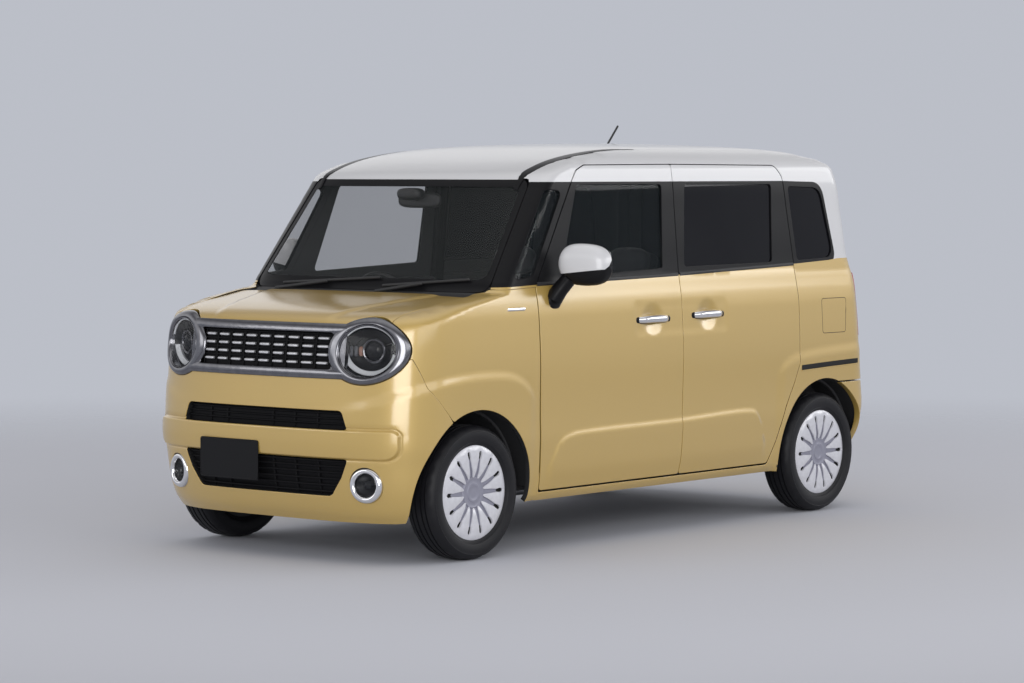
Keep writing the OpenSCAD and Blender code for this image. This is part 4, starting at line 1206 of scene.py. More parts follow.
def lens_cover(segs=96):
    shares = [0.06, 0.16, 0.27, 0.38, 0.48, 0.57, 0.64, 0.685, 0.705]
    outer, inner = ([lamp_row(t, h + 5.0 * (1 - (t / LENS_AT) ** 2), segs) for t in shares]
                    for h in (1.5, -1.0))
    rows = outer + inner[::-1]
    return solid(np.concatenate(rows), strips(len(rows), segs, True) + ends(len(rows), segs, True))


make("lamp_covers", both(lens_cover()), [LENS])

# Fog lamps
fog_ring = lathe([(45, -30), (47, 2), (50, 9), (55, 12), (62, 11.5), (69, 7), (72.5, 0), (72.5, -30),
                  (68, -34)], 72, 0)
fog_bowl = lathe([(0, -28), (20, -27), (36, -20), (44, -6), (46, -4), (47, -40), (0, -40)], 56, 1)
fog_eye = lathe([(0, -6), (8, -7), (15, -10), (20, -15), (22, -26), (24, -30)], 40, 2)
fog_cover = lathe([(0, 3), (16, 2.4), (32, 0), (44, -5), (45, -7), (45, -9), (32, -2.6), (16, 0), (0, 0.6)],
                  56, 3)
fog = placed(joined(fog_ring, fog_bowl, fog_eye, fog_cover), np.array([ACROSS, UP, AXIS]), FOG_C)
make("fog_lamp_units", both(fog), [CHROME, BOWL, EYE, LENS], nodes=["fog_lamps"])

# Grille: smoked frame, black mesh, silver dashes
GRILLE_HW, GRILLE_Z0, GRILLE_Z1 = 430.0, 746.0, 962.0
MESH_HW, MESH_Z0, MESH_Z1 = 362.0, 780.0, 930.0


def face_map(out):
    def f(q):
        p = screen_map(q)
        p[:, 1] -= out
        return p
    return f


frame_hole = rounded(four(MESH_HW + 8, MESH_Z0, MESH_HW + 8, MESH_Z1), 16, 16)
frame_outline = rounded(four(GRILLE_HW, GRILLE_Z0, GRILLE_HW, GRILLE_Z1), 6, 16)


def frame_swell(p):
    """Rounded bars above and below the mesh."""
    z = p[:, 2]
    top = np.clip(1 - ((z - 944) / 22) ** 2, 0, 1)
    low = np.clip(1 - ((z - 764) / 21) ** 2, 0, 1)
    return 9 * np.sqrt(top) + 9 * np.sqrt(low)


frame_mesh = panel(face_map(2), frame_outline, [frame_hole],
                   [across(440, z, 24) for z in (752, 764, 776, 932, 944, 956)], step=16, depth=26, roll=2,
                   bump=frame_swell)


def shade_sheet(outline, behind, depth):
    """Dark sheet behind an opening: painted shade inside it."""
    return plain(panel(face_map(-behind), outline, step=40, depth=depth, roll=0.5, inner=1,
                       paint=all_of(1)))


# Near-black sheet behind the grille mesh: painted shade.
bits = [plain(frame_mesh), shade_sheet(dense(grow(frame_hole, 10)), 16, 6)]
ROWS, COLS, PITCH_X, PITCH_Z = 4, 9, 79.0, 33.0


def bar_on_face(x0, x1, z0, z1, out, deep, number, n=6):
    """Rounded bar that follows the front surface."""
    ring = [(0, 0), (0.0, 1.0), (0.12, 1.25), (0.3, 1.4), (0.5, 1.45), (0.7, 1.4), (0.88, 1.25), (1.0, 1.0),
            (1, 0)]
    verts = []
    k = len(ring)
    for i in range(n + 1):
        x = x0 + (x1 - x0) * i / n
        share = 0.82 if i in (0, n) else 1.0
        for a, b in ring:
            z = z0 + (z1 - z0) * (0.5 + (a - 0.5) * share)
            verts.append((x, surface_y(x, z, out + deep * (b * share if b > 0 else 0) - deep), z))
    faces = strips(n + 1, k, True) + ends(n + 1, k)
    v = np.array(verts, float)
    f0 = faces[3]
    if np.cross(v[f0[1]] - v[f0[0]], v[f0[2]] - v[f0[0]])[1] > 0:
        faces = [f[::-1] for f in faces]
    return solid(v, faces, number)


for r in range(ROWS):
    z = (MESH_Z0 + MESH_Z1) / 2 + (r - (ROWS - 1) / 2) * PITCH_Z
    over = z + PITCH_Z / 2
    bits.append(bar_on_face(-MESH_HW - 4, MESH_HW + 4, over - 3, over + 3, -10, 7, 1, 24))
    for c in range(COLS):
        x = (c - (COLS - 1) / 2) * PITCH_X
        bits.append(bar_on_face(x - 26, x + 26, z - 5.5, z + 5.5, -4, 8, 2))
for c in range(COLS + 1):
    x = (c - COLS / 2) * PITCH_X
    bits.append(bar_on_face(x - 3, x + 3, MESH_Z0 - 2, MESH_Z1 + 2, -10, 7, 1, 2))
# Near-black sheets behind the bumper's upper slot and lower intake: painted shade.
bits += [shade_sheet(dense(grow(hole, 12), 30), 24, 4) for hole in (UPPER_SLOT, LOWER_INTAKE)]
for z in (566, 587, 608):
    bits.append(bar_on_face(-444, 444, z - 4, z + 4, -16, 12, 3, 24))
for z, reach in ((292, 372), (318, 394), (344, 414), (370, 426), (394, 438), (416, 446)):
    bits.append(bar_on_face(-reach, reach, z - 4.5, z + 4.5, -14, 12, 3, 24))
for x in (-300, -200, 60, 180, 300):
    bits.append(bar_on_face(x - 4, x + 4, 276, BAR_Z0 - 6, -18, 10, 3, 4))
    bits.append(bar_on_face(x - 4, x + 4, BAR_Z1 + 3, 621, -20, 10, 3, 2))
make("grille_parts", joined(*bits), [SMOKE, INTAKE_BLACK_AND_SHADE, SILVER, INTAKE_BLACK_AND_SHADE], nodes=["grille"])

# Blank number plate
PLATE_X, PLATE_Z, PLATE_HW, PLATE_HH = -155.0, 401.0, 165.0, 82.0
plate_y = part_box("number_plate")[0][1] / MM - 12
plate_outline = rounded(four(PLATE_HW, -PLATE_HH, PLATE_HW, PLATE_HH), 12, 30)
plate_sheet = plate(plate_outline, lambda c: (PLATE_X + c[0], plate_y - 0.5, PLATE_Z + c[1]), (0, 3.0, 0))
plate_rim = tube([(PLATE_X + a, plate_y - 0.5, PLATE_Z + b) for a, b in grow(plate_outline, -5)], 1.6, 8, 0,
                 closed=True)
plate_holder = box(PLATE_X - 60, PLATE_X + 60, plate_y + 2.6, plate_y + 30, PLATE_Z - 50, PLATE_Z + 50, 3,
                   1)
make("plate_front", joined(plate_sheet, plate_rim, plate_holder), [PLATE, PLASTIC], nodes=["number_plate"])


# Wheels: tyre with grooves and shoulder lugs, petal cover, plain barrel
def tyre_mesh(segs=112):
    half = [(186, 58), (190, 62.5), (197, 65.5), (206, 69.5), (208, 72.2), (214, 74.0), (226, 76.6),
            (238, 77.4), (248, 76.2), (249.5, 77.0), (252, 76.2), (256, 73.2), (262.5, 68.0), (267.5, 61.5),
            (271.0, 53.5), (272.4, 46.0), (272.8, 40.6), (266.5, 39.8), (266.5, 34.4), (273.2, 33.6),
            (273.6, 24.0), (273.7, 18.4), (267.0, 17.6), (267.0, 11.4), (273.8, 10.6), (274.0, 5.0)]
    profile = half + [(r, -h) for r, h in half[::-1]]
    verts = []
    for s in range(segs):
        a = 2 * math.pi * s / segs
        notch = s % 4 == 0
        for r, h in profile:
            if notch and 44 < abs(h) < 64 and r > 260:
                r -= 3.2
            verts.append((r * math.cos(a), r * math.sin(a), h))
    return solid(verts, strips(segs, len(profile), True, True))


COVER_R, PETALS = 198.0, 14


def cover_row(r):
    """Angles and depths of one petal's grid line at a radius, from groove to groove."""
    g = np.interp(r, [62, 72, 110, 138, 142, 160, 168, 171], [0.80, 0.56, 0.31, 0.17, 0.20, 0.22, 0.17,
                                                              0.03])
    w = min(0.10, g)
    edge = [0, g - w / 2, g, g + w / 2] + [g + w / 2 + (1 - g - w / 2) * k / 4 for k in range(1, 5)]
    sunk = [1, 1, 0.5, 0, 0, 0, 0, 0]
    half = list(zip([e / 2 for e in edge], sunk))
    return half + [(1 - a, d) for a, d in half[-2:0:-1]]


def cover_mesh():
    radii = [14, 27, 29, 31, 37, 39, 41, 48, 54, 57, 60, 62, 63, 66, 70, 76, 84, 94, 104, 114, 122, 130,
             136, 138, 140, 142, 145, 150, 156, 161, 165, 168, 170, 171, 173, 177, 182, 187, 191, 194.5,
             197, 198]
    pitch = 2 * math.pi / PETALS
    verts, faces, numbers = [(0, 0, 62.0)], [], []
    for r in radii:
        base = np.interp(r, [0, 62, 90, 150, 184, 192, 198], [62, 62, 66.5, 69.5, 67.0, 64.5, 58])
        depth = np.interp(r, [62, 66, 138, 142, 168, 171, 172], [1, 6, 6, 12, 12, 3, 0])
        hub = 1.5 * ramp((r - 55) / 3) - 1.5 + 2.4 * ramp((40 - r) / 3) - 1.2 * ramp((30 - r) / 3)
        for k in range(PETALS):
            for t, sunk in cover_row(max(r, 62)):
                across = abs(2 * t - 1)
                swell = 3.0 * (1 - across ** 2) * ramp((r - 62) / 30) * ramp((190 - r) / 20)
                z = base + (hub if r < 62 else swell * (1 - sunk) - depth * sunk)
                a = (k + t) * pitch
                verts.append((r * math.cos(a), r * math.sin(a), float(z)))
    per = len(cover_row(62))
    n = PETALS * per
    for r in (COVER_R, 24.0):
        verts += [(r * math.cos(2 * math.pi * k / n), r * math.sin(2 * math.pi * k / n), 46.0)
                  for k in range(n)]
    for k in range(n):
        j = (k + 1) % n
        faces.append([0, 1 + k, 1 + j])
        numbers.append(1)
        groove = k % per < 2 or k % per >= per - 2
        for i in range(len(radii) + 1):
            p = 1 + i * n
            faces.append([p + k, p + n + k, p + n + j, p + j])
            r = radii[min(i + 1, len(radii) - 1)]
            inner, outer = r <= 62, r > 171
            # Grooves past r 140 take the near-black slot colour: painted shade standing for open slots.
            numbers.append(1 if inner else 0 if outer or not groove else 1 if r <= 140 else 2)
    last = 1 + (len(radii) + 1) * n
    faces.append([last + k for k in range(n)][::-1])
    numbers.append(2)
    return np.array(verts, float), faces, None, numbers


barrel = lathe([(24, 6), (60, 10), (120, 30), (150, 44), (176, 46), (180, 58), (186, 60), (188, 56),
                (178, 40), (176, -40), (188, -56), (186, -60), (172, -58), (168, -40), (166, 30), (110, 14),
                (60, -6), (24, -8)], 64, 3, True)
nuts = [moved(lathe([(0, 14), (8, 14), (9, 12), (9, 2), (0, 2)], 6, 4),
              (50 * math.cos(a), 50 * math.sin(a), -12)) for a in np.arange(4) * math.pi / 2]
wheel_cover = joined(cover_mesh(), barrel, *nuts)
tyre = tyre_mesh()
for tag, y, sx in (("fl", AXLE_F, 1), ("fr", AXLE_F, -1), ("rl", AXLE_R, 1), ("rr", AXLE_R, -1)):
    rows = np.array([[0, sx, 0], [0, 0, 1], [sx, 0, 0]], float)
    at = np.array([sx * WHEEL_X, y, WHEEL_R])
    make("tyre_tread_" + tag, placed(tyre, rows, at), [TYRE], "wheel_" + tag, ["tyre_" + tag],
         30)
    make("wheel_cover_" + tag, placed(wheel_cover, rows, at), [COVER, HUB_GREY, SLOT_SHADE, UNDER, STEEL],
         "wheel_" + tag, ["rim_" + tag], 32)


def grid_shell(p, thick, number=0):
    """Closed shell from a grid of points."""
    rows, cols = p.shape[:2]
    n = unit(np.cross(np.gradient(p, axis=0), np.gradient(p, axis=1)))
    verts = np.concatenate([p.reshape(-1, 3), (p - n * thick).reshape(-1, 3)])
    back = rows * cols
    front = strips(rows, cols, True, wrap=False)
    edge = list(range(cols)) + [i * cols + cols - 1 for i in range(1, rows)]
    edge += [(rows - 1) * cols + k for k in range(cols - 2, -1, -1)]
    edge += [i * cols for i in range(rows - 2, 0, -1)]
    rim = [[b + back, a + back, a, b] for a, b in zip(edge, edge[1:] + edge[:1])]
    return solid(verts, front + [[c + back for c in f[::-1]] for f in front] + rim, number)


# Door mirrors: white cap over a black housing on a slanted arm
MIRROR_N = 2.7


def mirror_point(s, phi):
    end = (1 - abs(2 * s - 1) ** 3.4) ** (1 / 2.4) if 0 < s < 1 else 0.0
    c, d = math.cos(phi), math.sin(phi)
    n = 4.5 if c > 0 else 2.3
    y = math.copysign(abs(c) ** (2 / n), c)
    z = math.copysign(abs(d) ** (2 / MIRROR_N), d)
    mid_y, mid_z = -666 + 62 * s, 1190 - 9 * s
    depth, tall = 47.0 * (0.35 + 0.65 * end), np.interp(s, [0, 0.5, 1], [86, 87, 80])
    return 750 + 199 * s, mid_y + depth * y * (end > 0), mid_z + tall * end * z


def mirror_split(s):
    return 1146 + 22 * s


def mirror_mesh():
    steps = [0.0, 0.015, 0.04, 0.08, 0.13, 0.2, 0.28, 0.36, 0.44, 0.52, 0.6, 0.68, 0.76, 0.83, 0.89, 0.94,
             0.97, 0.99, 1.0]
    white, black, rear_edge = 30, 24, 1.0
    verts = []
    for s in steps:
        tall = max(mirror_point(s, math.pi / 2)[2] - mirror_point(s, 0)[2], 1.0)
        level = np.clip((mirror_split(s) - mirror_point(s, 0)[2]) / tall, -0.9, 0.9)
        front_edge = math.pi - math.asin(math.copysign(abs(level) ** (MIRROR_N / 2), level))
        around = list(np.linspace(rear_edge, front_edge, white + 1))
        around += list(np.linspace(front_edge, 2 * math.pi + rear_edge, black + 1))[1:-1]
        verts += [mirror_point(s, phi) for phi in around]
    numbers = ([1] * white + [0] * black) * (len(steps) - 1)
    body = (np.array(verts, float), strips(len(steps), white + black), None, numbers)
    glass = plate(fillet([(-78, -58), (74, -50), (78, 62), (-70, 66)], 26),
                  lambda c: (849 + c[0], -585 + c[0] * 0.31, 1184 + c[1]), (0.9, -3, 0), 2)
    arm_path = [(786, -664, 1128), (772, -672, 1108), (756, -682, 1086), (742, -692, 1062),
                (731, -697, 1042)]
    arm = tube(arm_path, [33, 33, 34, 36, 37], 24, 0)
    foot = blob((727, -690, 1036), (16, 40, 36), 2.6, 16, 28, 0)
    return joined(body, glass, arm, foot)


make_doors("mirror_set", mirror_mesh(), [GLOSS_BLACK, WHITE, MIRROR], "mirror")


# Door handles: bright bar with dark ends over its cup
GRIP_R, GRIP_LIFT, GRIP_POINTS = 12.5, 19.5, 17


def side_x(z):
    return float(ring_at(z)[0])


def handle(y0, y1, z):
    path, size = [], []
    for t in np.linspace(0, 1, GRIP_POINTS):
        lift = GRIP_LIFT - 30 * abs(2 * t - 1) ** 5
        path.append((side_x(z) + lift, y0 + (y1 - y0) * t, z + 3 * math.sin(math.pi * t)))
        size.append(GRIP_R * (1 - 0.35 * abs(2 * t - 1) ** 3))
    grip = tube(path, size, 16, 0, 1.35)
    # Dark tube under the grip: painted shade along its underside.
    shade = tube([(p[0] - 3.5, p[1], p[2] - 8) for p in path[1:-1]], [s * 0.82 for s in size[1:-1]], 14, 1,
                 1.0)
    mounts = [blob((side_x(z) - 1, y, z), (13, 22, 15), 2.8, 12, 20, 1) for y in (y0 + 12, y1 - 12)]
    return joined(grip, shade, *mounts)


make_doors("door_handle", handle(-140, 88, 934), [CHROME, GLOSS_BLACK])
make("sliding_door_handles", both(handle(258, 482, 942)), [CHROME, GLOSS_BLACK])


# Bars and lines laid on the side
RIBBON_T = 3.0


def side_ribbon(points, width, out, number=0, bump=side_bump):
    """Flat raised strip along a line on the unrolled body."""
    p = dense(points, 18, False)
    t = unit(np.gradient(p, axis=0))
    n = np.stack([-t[:, 1], t[:, 0]], 1)
    if not np.isscalar(width):
        width = np.interp(np.linspace(0, 1, len(p)), np.linspace(0, 1, len(width)), width)[:, None]
    cols = [p + n * width * k for k in (-0.5, -0.3, 0.0, 0.3, 0.5)]
    lift = (0.0, out * 0.85, out, out * 0.85, 0.0)
    rows = []
    for c, h in zip(cols, lift):
        q, m = surface(side_map, c, bump)
        rows.append(q + m * h)
    g = np.stack(rows, 1)
    outward = np.mean(np.cross(np.gradient(g, axis=0), np.gradient(g, axis=1))[:, :, 0])
    return grid_shell(g if outward > 0 else g[:, ::-1], RIBBON_T, number)


belt_front = side_ribbon([(-792, 1106), (-600, 1110), (-200, 1117), (178, 1124)], 16, 4)
belt_rear = side_ribbon([(192, 1124), (500, 1133), (800, 1141), (1056, 1149)], 16, 4)
make_doors("belt_strip", belt_front, [PLASTIC])
make("belt_strips_rear", both(belt_rear), [PLASTIC])
wing_bar = side_ribbon([(-1000, 1007), (-890, 1007)], 15, 5)
make("wing_bars", both(wing_bar), [CHROME])
# Dark strip along the sliding-door rail: painted shade in the rail's slot.
slot_line = side_ribbon([(1082, 674), (1300, 681), (1540, 687)], 24, 0.8, 0)
slot_lip = side_ribbon([(1082, 660), (1300, 667), (1540, 673)], 6, 3.0, 1)
make("slide_rails", both(joined(slot_line, slot_lip)), [SLOT_SHADE, GOLD])
ditch = side_ribbon([uz_plan(559, y) for y in np.linspace(-740, 60, 40)], np.linspace(9, 2, 40), 0.6, 0,
                    bump=None)
make("roof_seams", both(ditch), [GLOSS_BLACK])
# Dark line round the fuel lid: painted shade in its gap.
fuel_lid = rounded([(1255, 825), (1440, 825), (1452, 984), (1253, 984)], 16)
lid_line = side_ribbon(closed_line(fuel_lid), 2.6, 0.35)
make("fuel_lid_line", lid_line, [SLOT_SHADE])


# Rolled lips that join the arch openings to their liners
def lip_reach(y, z):
    """How far out an arch lip may go and stay behind the body surface."""
    reach = np.arange(716, 560, -4.0)
    level = np.full_like(reach, z)
    room = (front_y(reach + 16, level) < y) & (rear_y(reach + 16, level) > y)
    return float(reach[room][0]) if room.any() else 560.0


def arch_lip(cy, r, a0, a1, n=56):
    verts = []
    for a in np.radians(np.linspace(a0, a1, n + 1)):
        x = lip_reach(cy + r * math.cos(a), WHEEL_R + r * math.sin(a))
        low = min(640, x - 6)
        ring = ((r - 6, 555), (r - 6, low), (r, low + 5), (r, x), (r + 4, x), (r + 4, 555))
        verts += [(h, cy + q * math.cos(a), WHEEL_R + q * math.sin(a)) for q, h in ring]
    return solid(verts, strips(n + 1, len(ring)) + ends(n + 1, len(ring)))


make("arch_lips", both(joined(arch_lip(AXLE_F, ARCH_F, 0, 186), arch_lip(AXLE_R, ARCH_R, -8, 188))),
     [PLASTIC])

# Jambs behind the tailgate's side gaps, dark under metal as painted shade in the gaps
jamb = [(gate_edge(z) + 26, z) for z in (1135, 1340, 1545)]
jamb += [(gate_edge(z) - 30, z) for z in (1545, 1340, 1135)]
make("tailgate_jambs", both(panel(gate_map, dense(jamb, 20), step=40, depth=8, roll=2, sink=22)), [UNDER])

# Hinge arms of the hood and tailgate, hinge pins of the front doors
HOOD_HINGE_X, HOOD_AXIS = 560.0, (-1108.0, 1050.0)
GATE_HINGE_X, GATE_AXIS, GATE_ARM_Z = 430.0, (1420.0, 1575.0), 1506.0
DOOR_AXIS = (708.0, -712.0)
hood_arm = box(HOOD_HINGE_X - 8, HOOD_HINGE_X + 8, -1180, HOOD_AXIS[0] + 10, HOOD_AXIS[1] - 10,
               HOOD_AXIS[1] + 6, 3)
make("hood_hinge_arms", both(hood_arm), [UNDER], "hood_lid")
gate_arm = joined(box(GATE_HINGE_X - 8, GATE_HINGE_X + 8, GATE_AXIS[0] - 9, GATE_AXIS[0] + 9,
                      GATE_ARM_Z - 10, GATE_AXIS[1] + 9, 3),
                  box(GATE_HINGE_X - 8, GATE_HINGE_X + 8, GATE_AXIS[0] - 9, 1514, GATE_ARM_Z - 10,
                      GATE_ARM_Z + 10, 3))
make("tailgate_hinge_arms", both(gate_arm), [UNDER], "tailgate_lid")
pins = joined(*[moved(lathe([(0, 30), (5, 30), (6, 29), (6, -29), (5, -30), (0, -30)], 20), (*DOOR_AXIS, z))
                for z in (450, 930)])
make_doors("hinge_pins", pins, [STEEL])


# Rear fittings: latch handle over the plate recess, wiper, high lamp, reflectors
def gate_y(x, z):
    return float(rear_y(x, z))


handle_bar = tube([(x, gate_y(x, 968) + 10 - 8 * abs(x / 250) ** 4, 968)
                   for x in np.linspace(-250, 250, 25)], 15, 16, 0, 1.5)
wiper_pivot = blob((0, gate_y(0, 1140) + 12, 1140), (26, 20, 24), 2.4, 14, 28, 0)
wiper_rod = tube([(0, gate_y(0, 1140) + 26, 1140), (-90, gate_y(90, 1152) + 24, 1152),
                  (-330, gate_y(330, 1178) + 16, 1178)], [9, 7, 5], 12, 0)
high_lamp = panel(gate_map, rounded(four(130, 1532, 124, 1558), 8, 12), step=16, depth=8, roll=1.5, sink=-3)
make("tailgate_fittings", joined(handle_bar, wiper_pivot, wiper_rod), [GLOSS_BLACK], "tailgate_lid")
make("high_stop_lamp", high_lamp, [RED], "tailgate_lid")
reflector = panel(tail_map, rounded([(470, 300), (590, 300), (590, 330), (470, 330)], 8, 12), step=16,
                  depth=6, roll=1.5, sink=-2)
make("rear_reflectors", both(reflector), [RED])
plate_foot = REAR_PLATE_Z - PLATE_HH
rear_y0 = max(gate_y(0, plate_foot), gate_y(PLATE_HW, plate_foot)) - 8
rear_plate = plate(plate_outline, lambda c: (c[0], rear_y0, REAR_PLATE_Z + c[1]), (0, 3.0, 0))
make("plate_rear", rear_plate, [PLATE], "tailgate_lid")


# Cabin: seats as padded cloth
SEAT_X, FRONT_BACK, REAR_BACK = 330.0, (128.0, 560.0), (995.0, 560.0)
PUFF_ROOM, PUFF_FORCE, PUFF_FRAMES, PUFF_MOST, PAD_FILL = 7.0, 4.0, 20, 16.0, 0.7


def soft_piece(name, size, n, rows, origin, channels, nodes=(), voxel=9.0):
    """Cushion: a rounded block, blown up as cloth, with sewn channels pressed in afterwards."""
    start = blob((0, 0, 0), [h - PUFF_ROOM for h in size], n, 28, 48)
    data = bpy.data.meshes.new(name)
    data.from_pydata((start[0] * MM).tolist(), [], start[1])
    obj = linked(name, data)
    remesh = obj.modifiers.new("remesh", "REMESH")
    remesh.mode, remesh.voxel_size = "VOXEL", voxel * MM
    applied(obj)
    rest = points_of(obj.data)
    puff = obj.modifiers.new("cloth", "CLOTH")
    puff.settings.use_pressure = True
    puff.settings.uniform_pressure_force = PUFF_FORCE
    puff.settings.effector_weights.gravity = 0.0
    for f in range(1, PUFF_FRAMES + 1):
        bpy.context.scene.frame_set(f)
    applied(obj)
    bpy.context.scene.frame_set(1)
    move = points_of(obj.data) - rest
    size_of = np.linalg.norm(move, axis=1)
    move *= np.minimum(1, PUFF_MOST * MM / np.maximum(size_of, 1e-9))[:, None]
    obj.data.vertices.foreach_set("co", (rest + move).ravel())
    p = points_of(obj.data) / MM
    limit = np.array(size)
    p = np.clip(p, -limit, limit)
    near = unit(p / limit ** 2)
    press = np.zeros(len(p))
    for axis, at, width, deep in channels:
        press += deep * np.exp(-((np.abs(p[:, axis]) - at) / width) ** 2 * 0.5)
    p = p - near * press[:, None]
    p = p @ np.array(rows, float) + np.array(origin, float)
    obj.data.vertices.foreach_set("co", (p * MM).ravel())
    obj.data.materials.append(SEAT)
    obj.data.polygons.foreach_set("use_smooth", np.ones(len(obj.data.polygons), bool))
    obj.data.update()
    entered(obj, "body", nodes)


def applied(obj):
    """Leaves the shown mesh on the object, with no modifier."""
    graph = bpy.context.evaluated_depsgraph_get()
    fresh = bpy.data.meshes.new_from_object(obj.evaluated_get(graph))
    obj.modifiers.clear()
    obj.data = fresh


def points_of(data):
    co = np.zeros(len(data.vertices) * 3)
    data.vertices.foreach_get("co", co)
    return co.reshape(-1, 3)


def leaned(angle):
    """Local frame of a backrest leaned back: across, out of its face to the front, up along it."""
    a = math.radians(angle)
    return np.array([[1, 0, 0], [0, math.cos(a), -math.sin(a)], [0, math.sin(a), math.cos(a)]])


LEAN = 18.0
FLAT = np.eye(3)
back_rows = leaned(LEAN)


def along_back(foot, up):
    """Point on a leaned backrest, up from its foot."""
    a = math.radians(LEAN)
    return np.array([0, foot[0] + up * math.sin(a), foot[1] + up * math.cos(a)])


for tag, sx in (("left", 1), ("right", -1)):
    at = np.array([sx * SEAT_X, 0, 0])
    soft_piece("front_cushion_" + tag, (236, 246, 80), 4.2, FLAT, at + (0, -80, 512),
               [(0, 150, 5, 7), (0, 232, 6, 4)], nodes=["front_seats"] if sx > 0 else ())
    soft_piece("front_back_" + tag, (230, 58, 258), 4.2, back_rows, at + along_back(FRONT_BACK, 262),
               [(0, 140, 5, 7), (2, 120, 5, 4)])
    soft_piece("front_headrest_" + tag, (118, 44, 74), 3.4, back_rows, at + along_back(FRONT_BACK, 634),
               [(0, 84, 4, 3)], voxel=7)
    posts = [tube([at + along_back(FRONT_BACK, 500) + (dx, 0, 0), at + along_back(FRONT_BACK, 590) + (dx, 0,
                                                                                                      0)],
                  6, 10, 0) for dx in (-50, 50)]
    base = box(sx * SEAT_X - 200, sx * SEAT_X + 200, -280, 130, 330, 440, 10, 1)
    make("seat_base_" + tag, joined(*posts, base), [STEEL, PLASTIC])
soft_piece("rear_cushion", (526, 246, 80), 5.0, FLAT, (0, 790, 512), [(0, 180, 5, 7), (0, 0, 5, 7)],
           nodes=["rear_seat"], voxel=11)
soft_piece("rear_back", (526, 55, 248), 5.0, back_rows, along_back(REAR_BACK, 250),
           [(0, 0, 5, 8), (0, 250, 5, 5)], voxel=11)
for tag, x in (("left", 270), ("right", -270)):
    soft_piece("rear_headrest_" + tag, (112, 40, 62), 3.4, back_rows,
               along_back(REAR_BACK, 600) + (x, 0, 0), [(0, 80, 4, 3)], voxel=7)
make("rear_seat_base", box(-500, 500, 580, 1000, 330, 440, 10), [PLASTIC])


# Dashboard swept across the cabin
def swept(profile, x0, x1, number=0, r=14.0):
    """Closed (Y, Z) profile pushed across, with its ends rounded in."""
    p = dense(profile, 40)
    mid = p.mean(0)
    stations = [(x0, 0.93), (x0 + r * 0.4, 0.98), (x0 + r, 1.0), (x1 - r, 1.0), (x1 - r * 0.4, 0.98),
                (x1, 0.93)]
    k = len(p)
    verts = []
    for x, s in stations:
        verts += [(x, *(mid + (c - mid) * s)) for c in p]
    faces = strips(len(stations), k) + ends(len(stations), k)
    area = sum(a[0] * b[1] - b[0] * a[1] for a, b in zip(p, np.roll(p, -1, 0)))
    if area < 0:
        faces = [f[::-1] for f in faces]
    return solid(verts, faces, number)


dash_top = swept(fillet([(-960, 890), (-700, 880), (-668, 950), (-690, 1008), (-770, 1030), (-960, 1030)],
                        [10, 26, 30, 40, 40, 10]), -580, 580, 0)
dash_low = swept(fillet([(-955, 705), (-720, 720), (-652, 800), (-662, 870), (-955, 880)],
                        [10, 40, 30, 20, 10]), -578, 578, 1)
hood_over = swept(fillet([(-760, 1002), (-664, 970), (-656, 1020), (-690, 1056), (-760, 1056)],
                         [4, 8, 16, 24, 20]), -490, -170, 0)
gauge = box(-470, -190, -672, -661, 975, 1030, 4, 2)
screen_box = box(-105, 105, -690, -652, 905, 1040, 8, 2)
console = box(-88, 88, -698, -562, 624, 788, 16, 1)
lever = tube([(0, -600, 785), (0, -585, 830), (0, -575, 850)], [9, 9, 16], 14, 3)
vent = lathe([(0, 4), (30, 4), (36, 8), (40, 6), (42, 0), (42, -10), (0, -10)], 36, 3)
vent_rows = np.array([[1, 0, 0], [0, 0.2, 0.98], [0, 0.98, -0.2]])
vents = [placed(vent, vent_rows, (x, -664, 950)) for x in (-540, 540)]
make("dash_board", joined(dash_top, dash_low, hood_over, gauge, screen_box, console, lever, *vents),
     [DASH, TRIM_GREY, DISPLAY, PLASTIC], nodes=["dashboard"])

# Steering wheel
WHEEL_AT, RIM_R, RIM_POINTS = np.array([-330.0, -520.0, 960.0]), 182.0, 72
TURN = np.array([0, 0.882948, 0.469472])
WHEEL_ROWS = np.array([[1, 0, 0], np.cross(TURN, [1, 0, 0]), TURN])
a = np.linspace(0, 2 * math.pi, RIM_POINTS, endpoint=False)
grip = tube(np.stack([RIM_R * np.cos(a), RIM_R * np.sin(a), 0 * a], 1), 14.5, 14, 0, closed=True)
hub = blob((0, 0, -6), (74, 58, 26), 3.2, 18, 32, 0)
spokes = [tube([(60 * math.cos(t), 44 * math.sin(t), -8), (120 * math.cos(t), 110 * math.sin(t), -6),
                (176 * math.cos(t), 176 * math.sin(t), -2)], [22, 17, 14], 14, 1, 0.5)
          for t in (math.radians(4), math.radians(176), math.radians(270))]
column = lathe([(0, -10), (26, -10), (26, -180), (0, -180)], 28, 0)
make("steering_rim", placed(joined(grip, hub, column, *spokes), WHEEL_ROWS, WHEEL_AT), [PLASTIC, SILVER],
     "hand_wheel", ["steering_wheel"])

# Door cards, with an armrest
card_outline = rounded([(-684, 300), (165, 300), (165, 1088), (-690, 1074)], 40, 22)
card = panel(side_map, card_outline, step=26, depth=34, roll=4, sink=15)
arm = swept(fillet([(-350, 742), (110, 742), (110, 790), (-350, 806)], 18), 640, 690, 0)
make_doors("door_card", joined(plain(card), arm), [TRIM_GREY])
rear_card = panel(side_map, rounded([(212, 360), (820, 360), (960, 560), (1030, 700), (1040, 1110),
                                     (212, 1092)], 40, 22), step=30, depth=30, roll=4, sink=15)
make("rear_door_cards", both(rear_card), [TRIM_GREY])

# Posts behind the gap between the doors, gloss black like the pillars above the belt and as painted shade
# in the gap below it
b_post = panel(side_map, dense([(158, 345), (214, 345), (214, 1560), (158, 1560)]), step=40, depth=30,
               roll=3, sink=18)
make("door_posts", both(b_post), [GLOSS_BLACK])

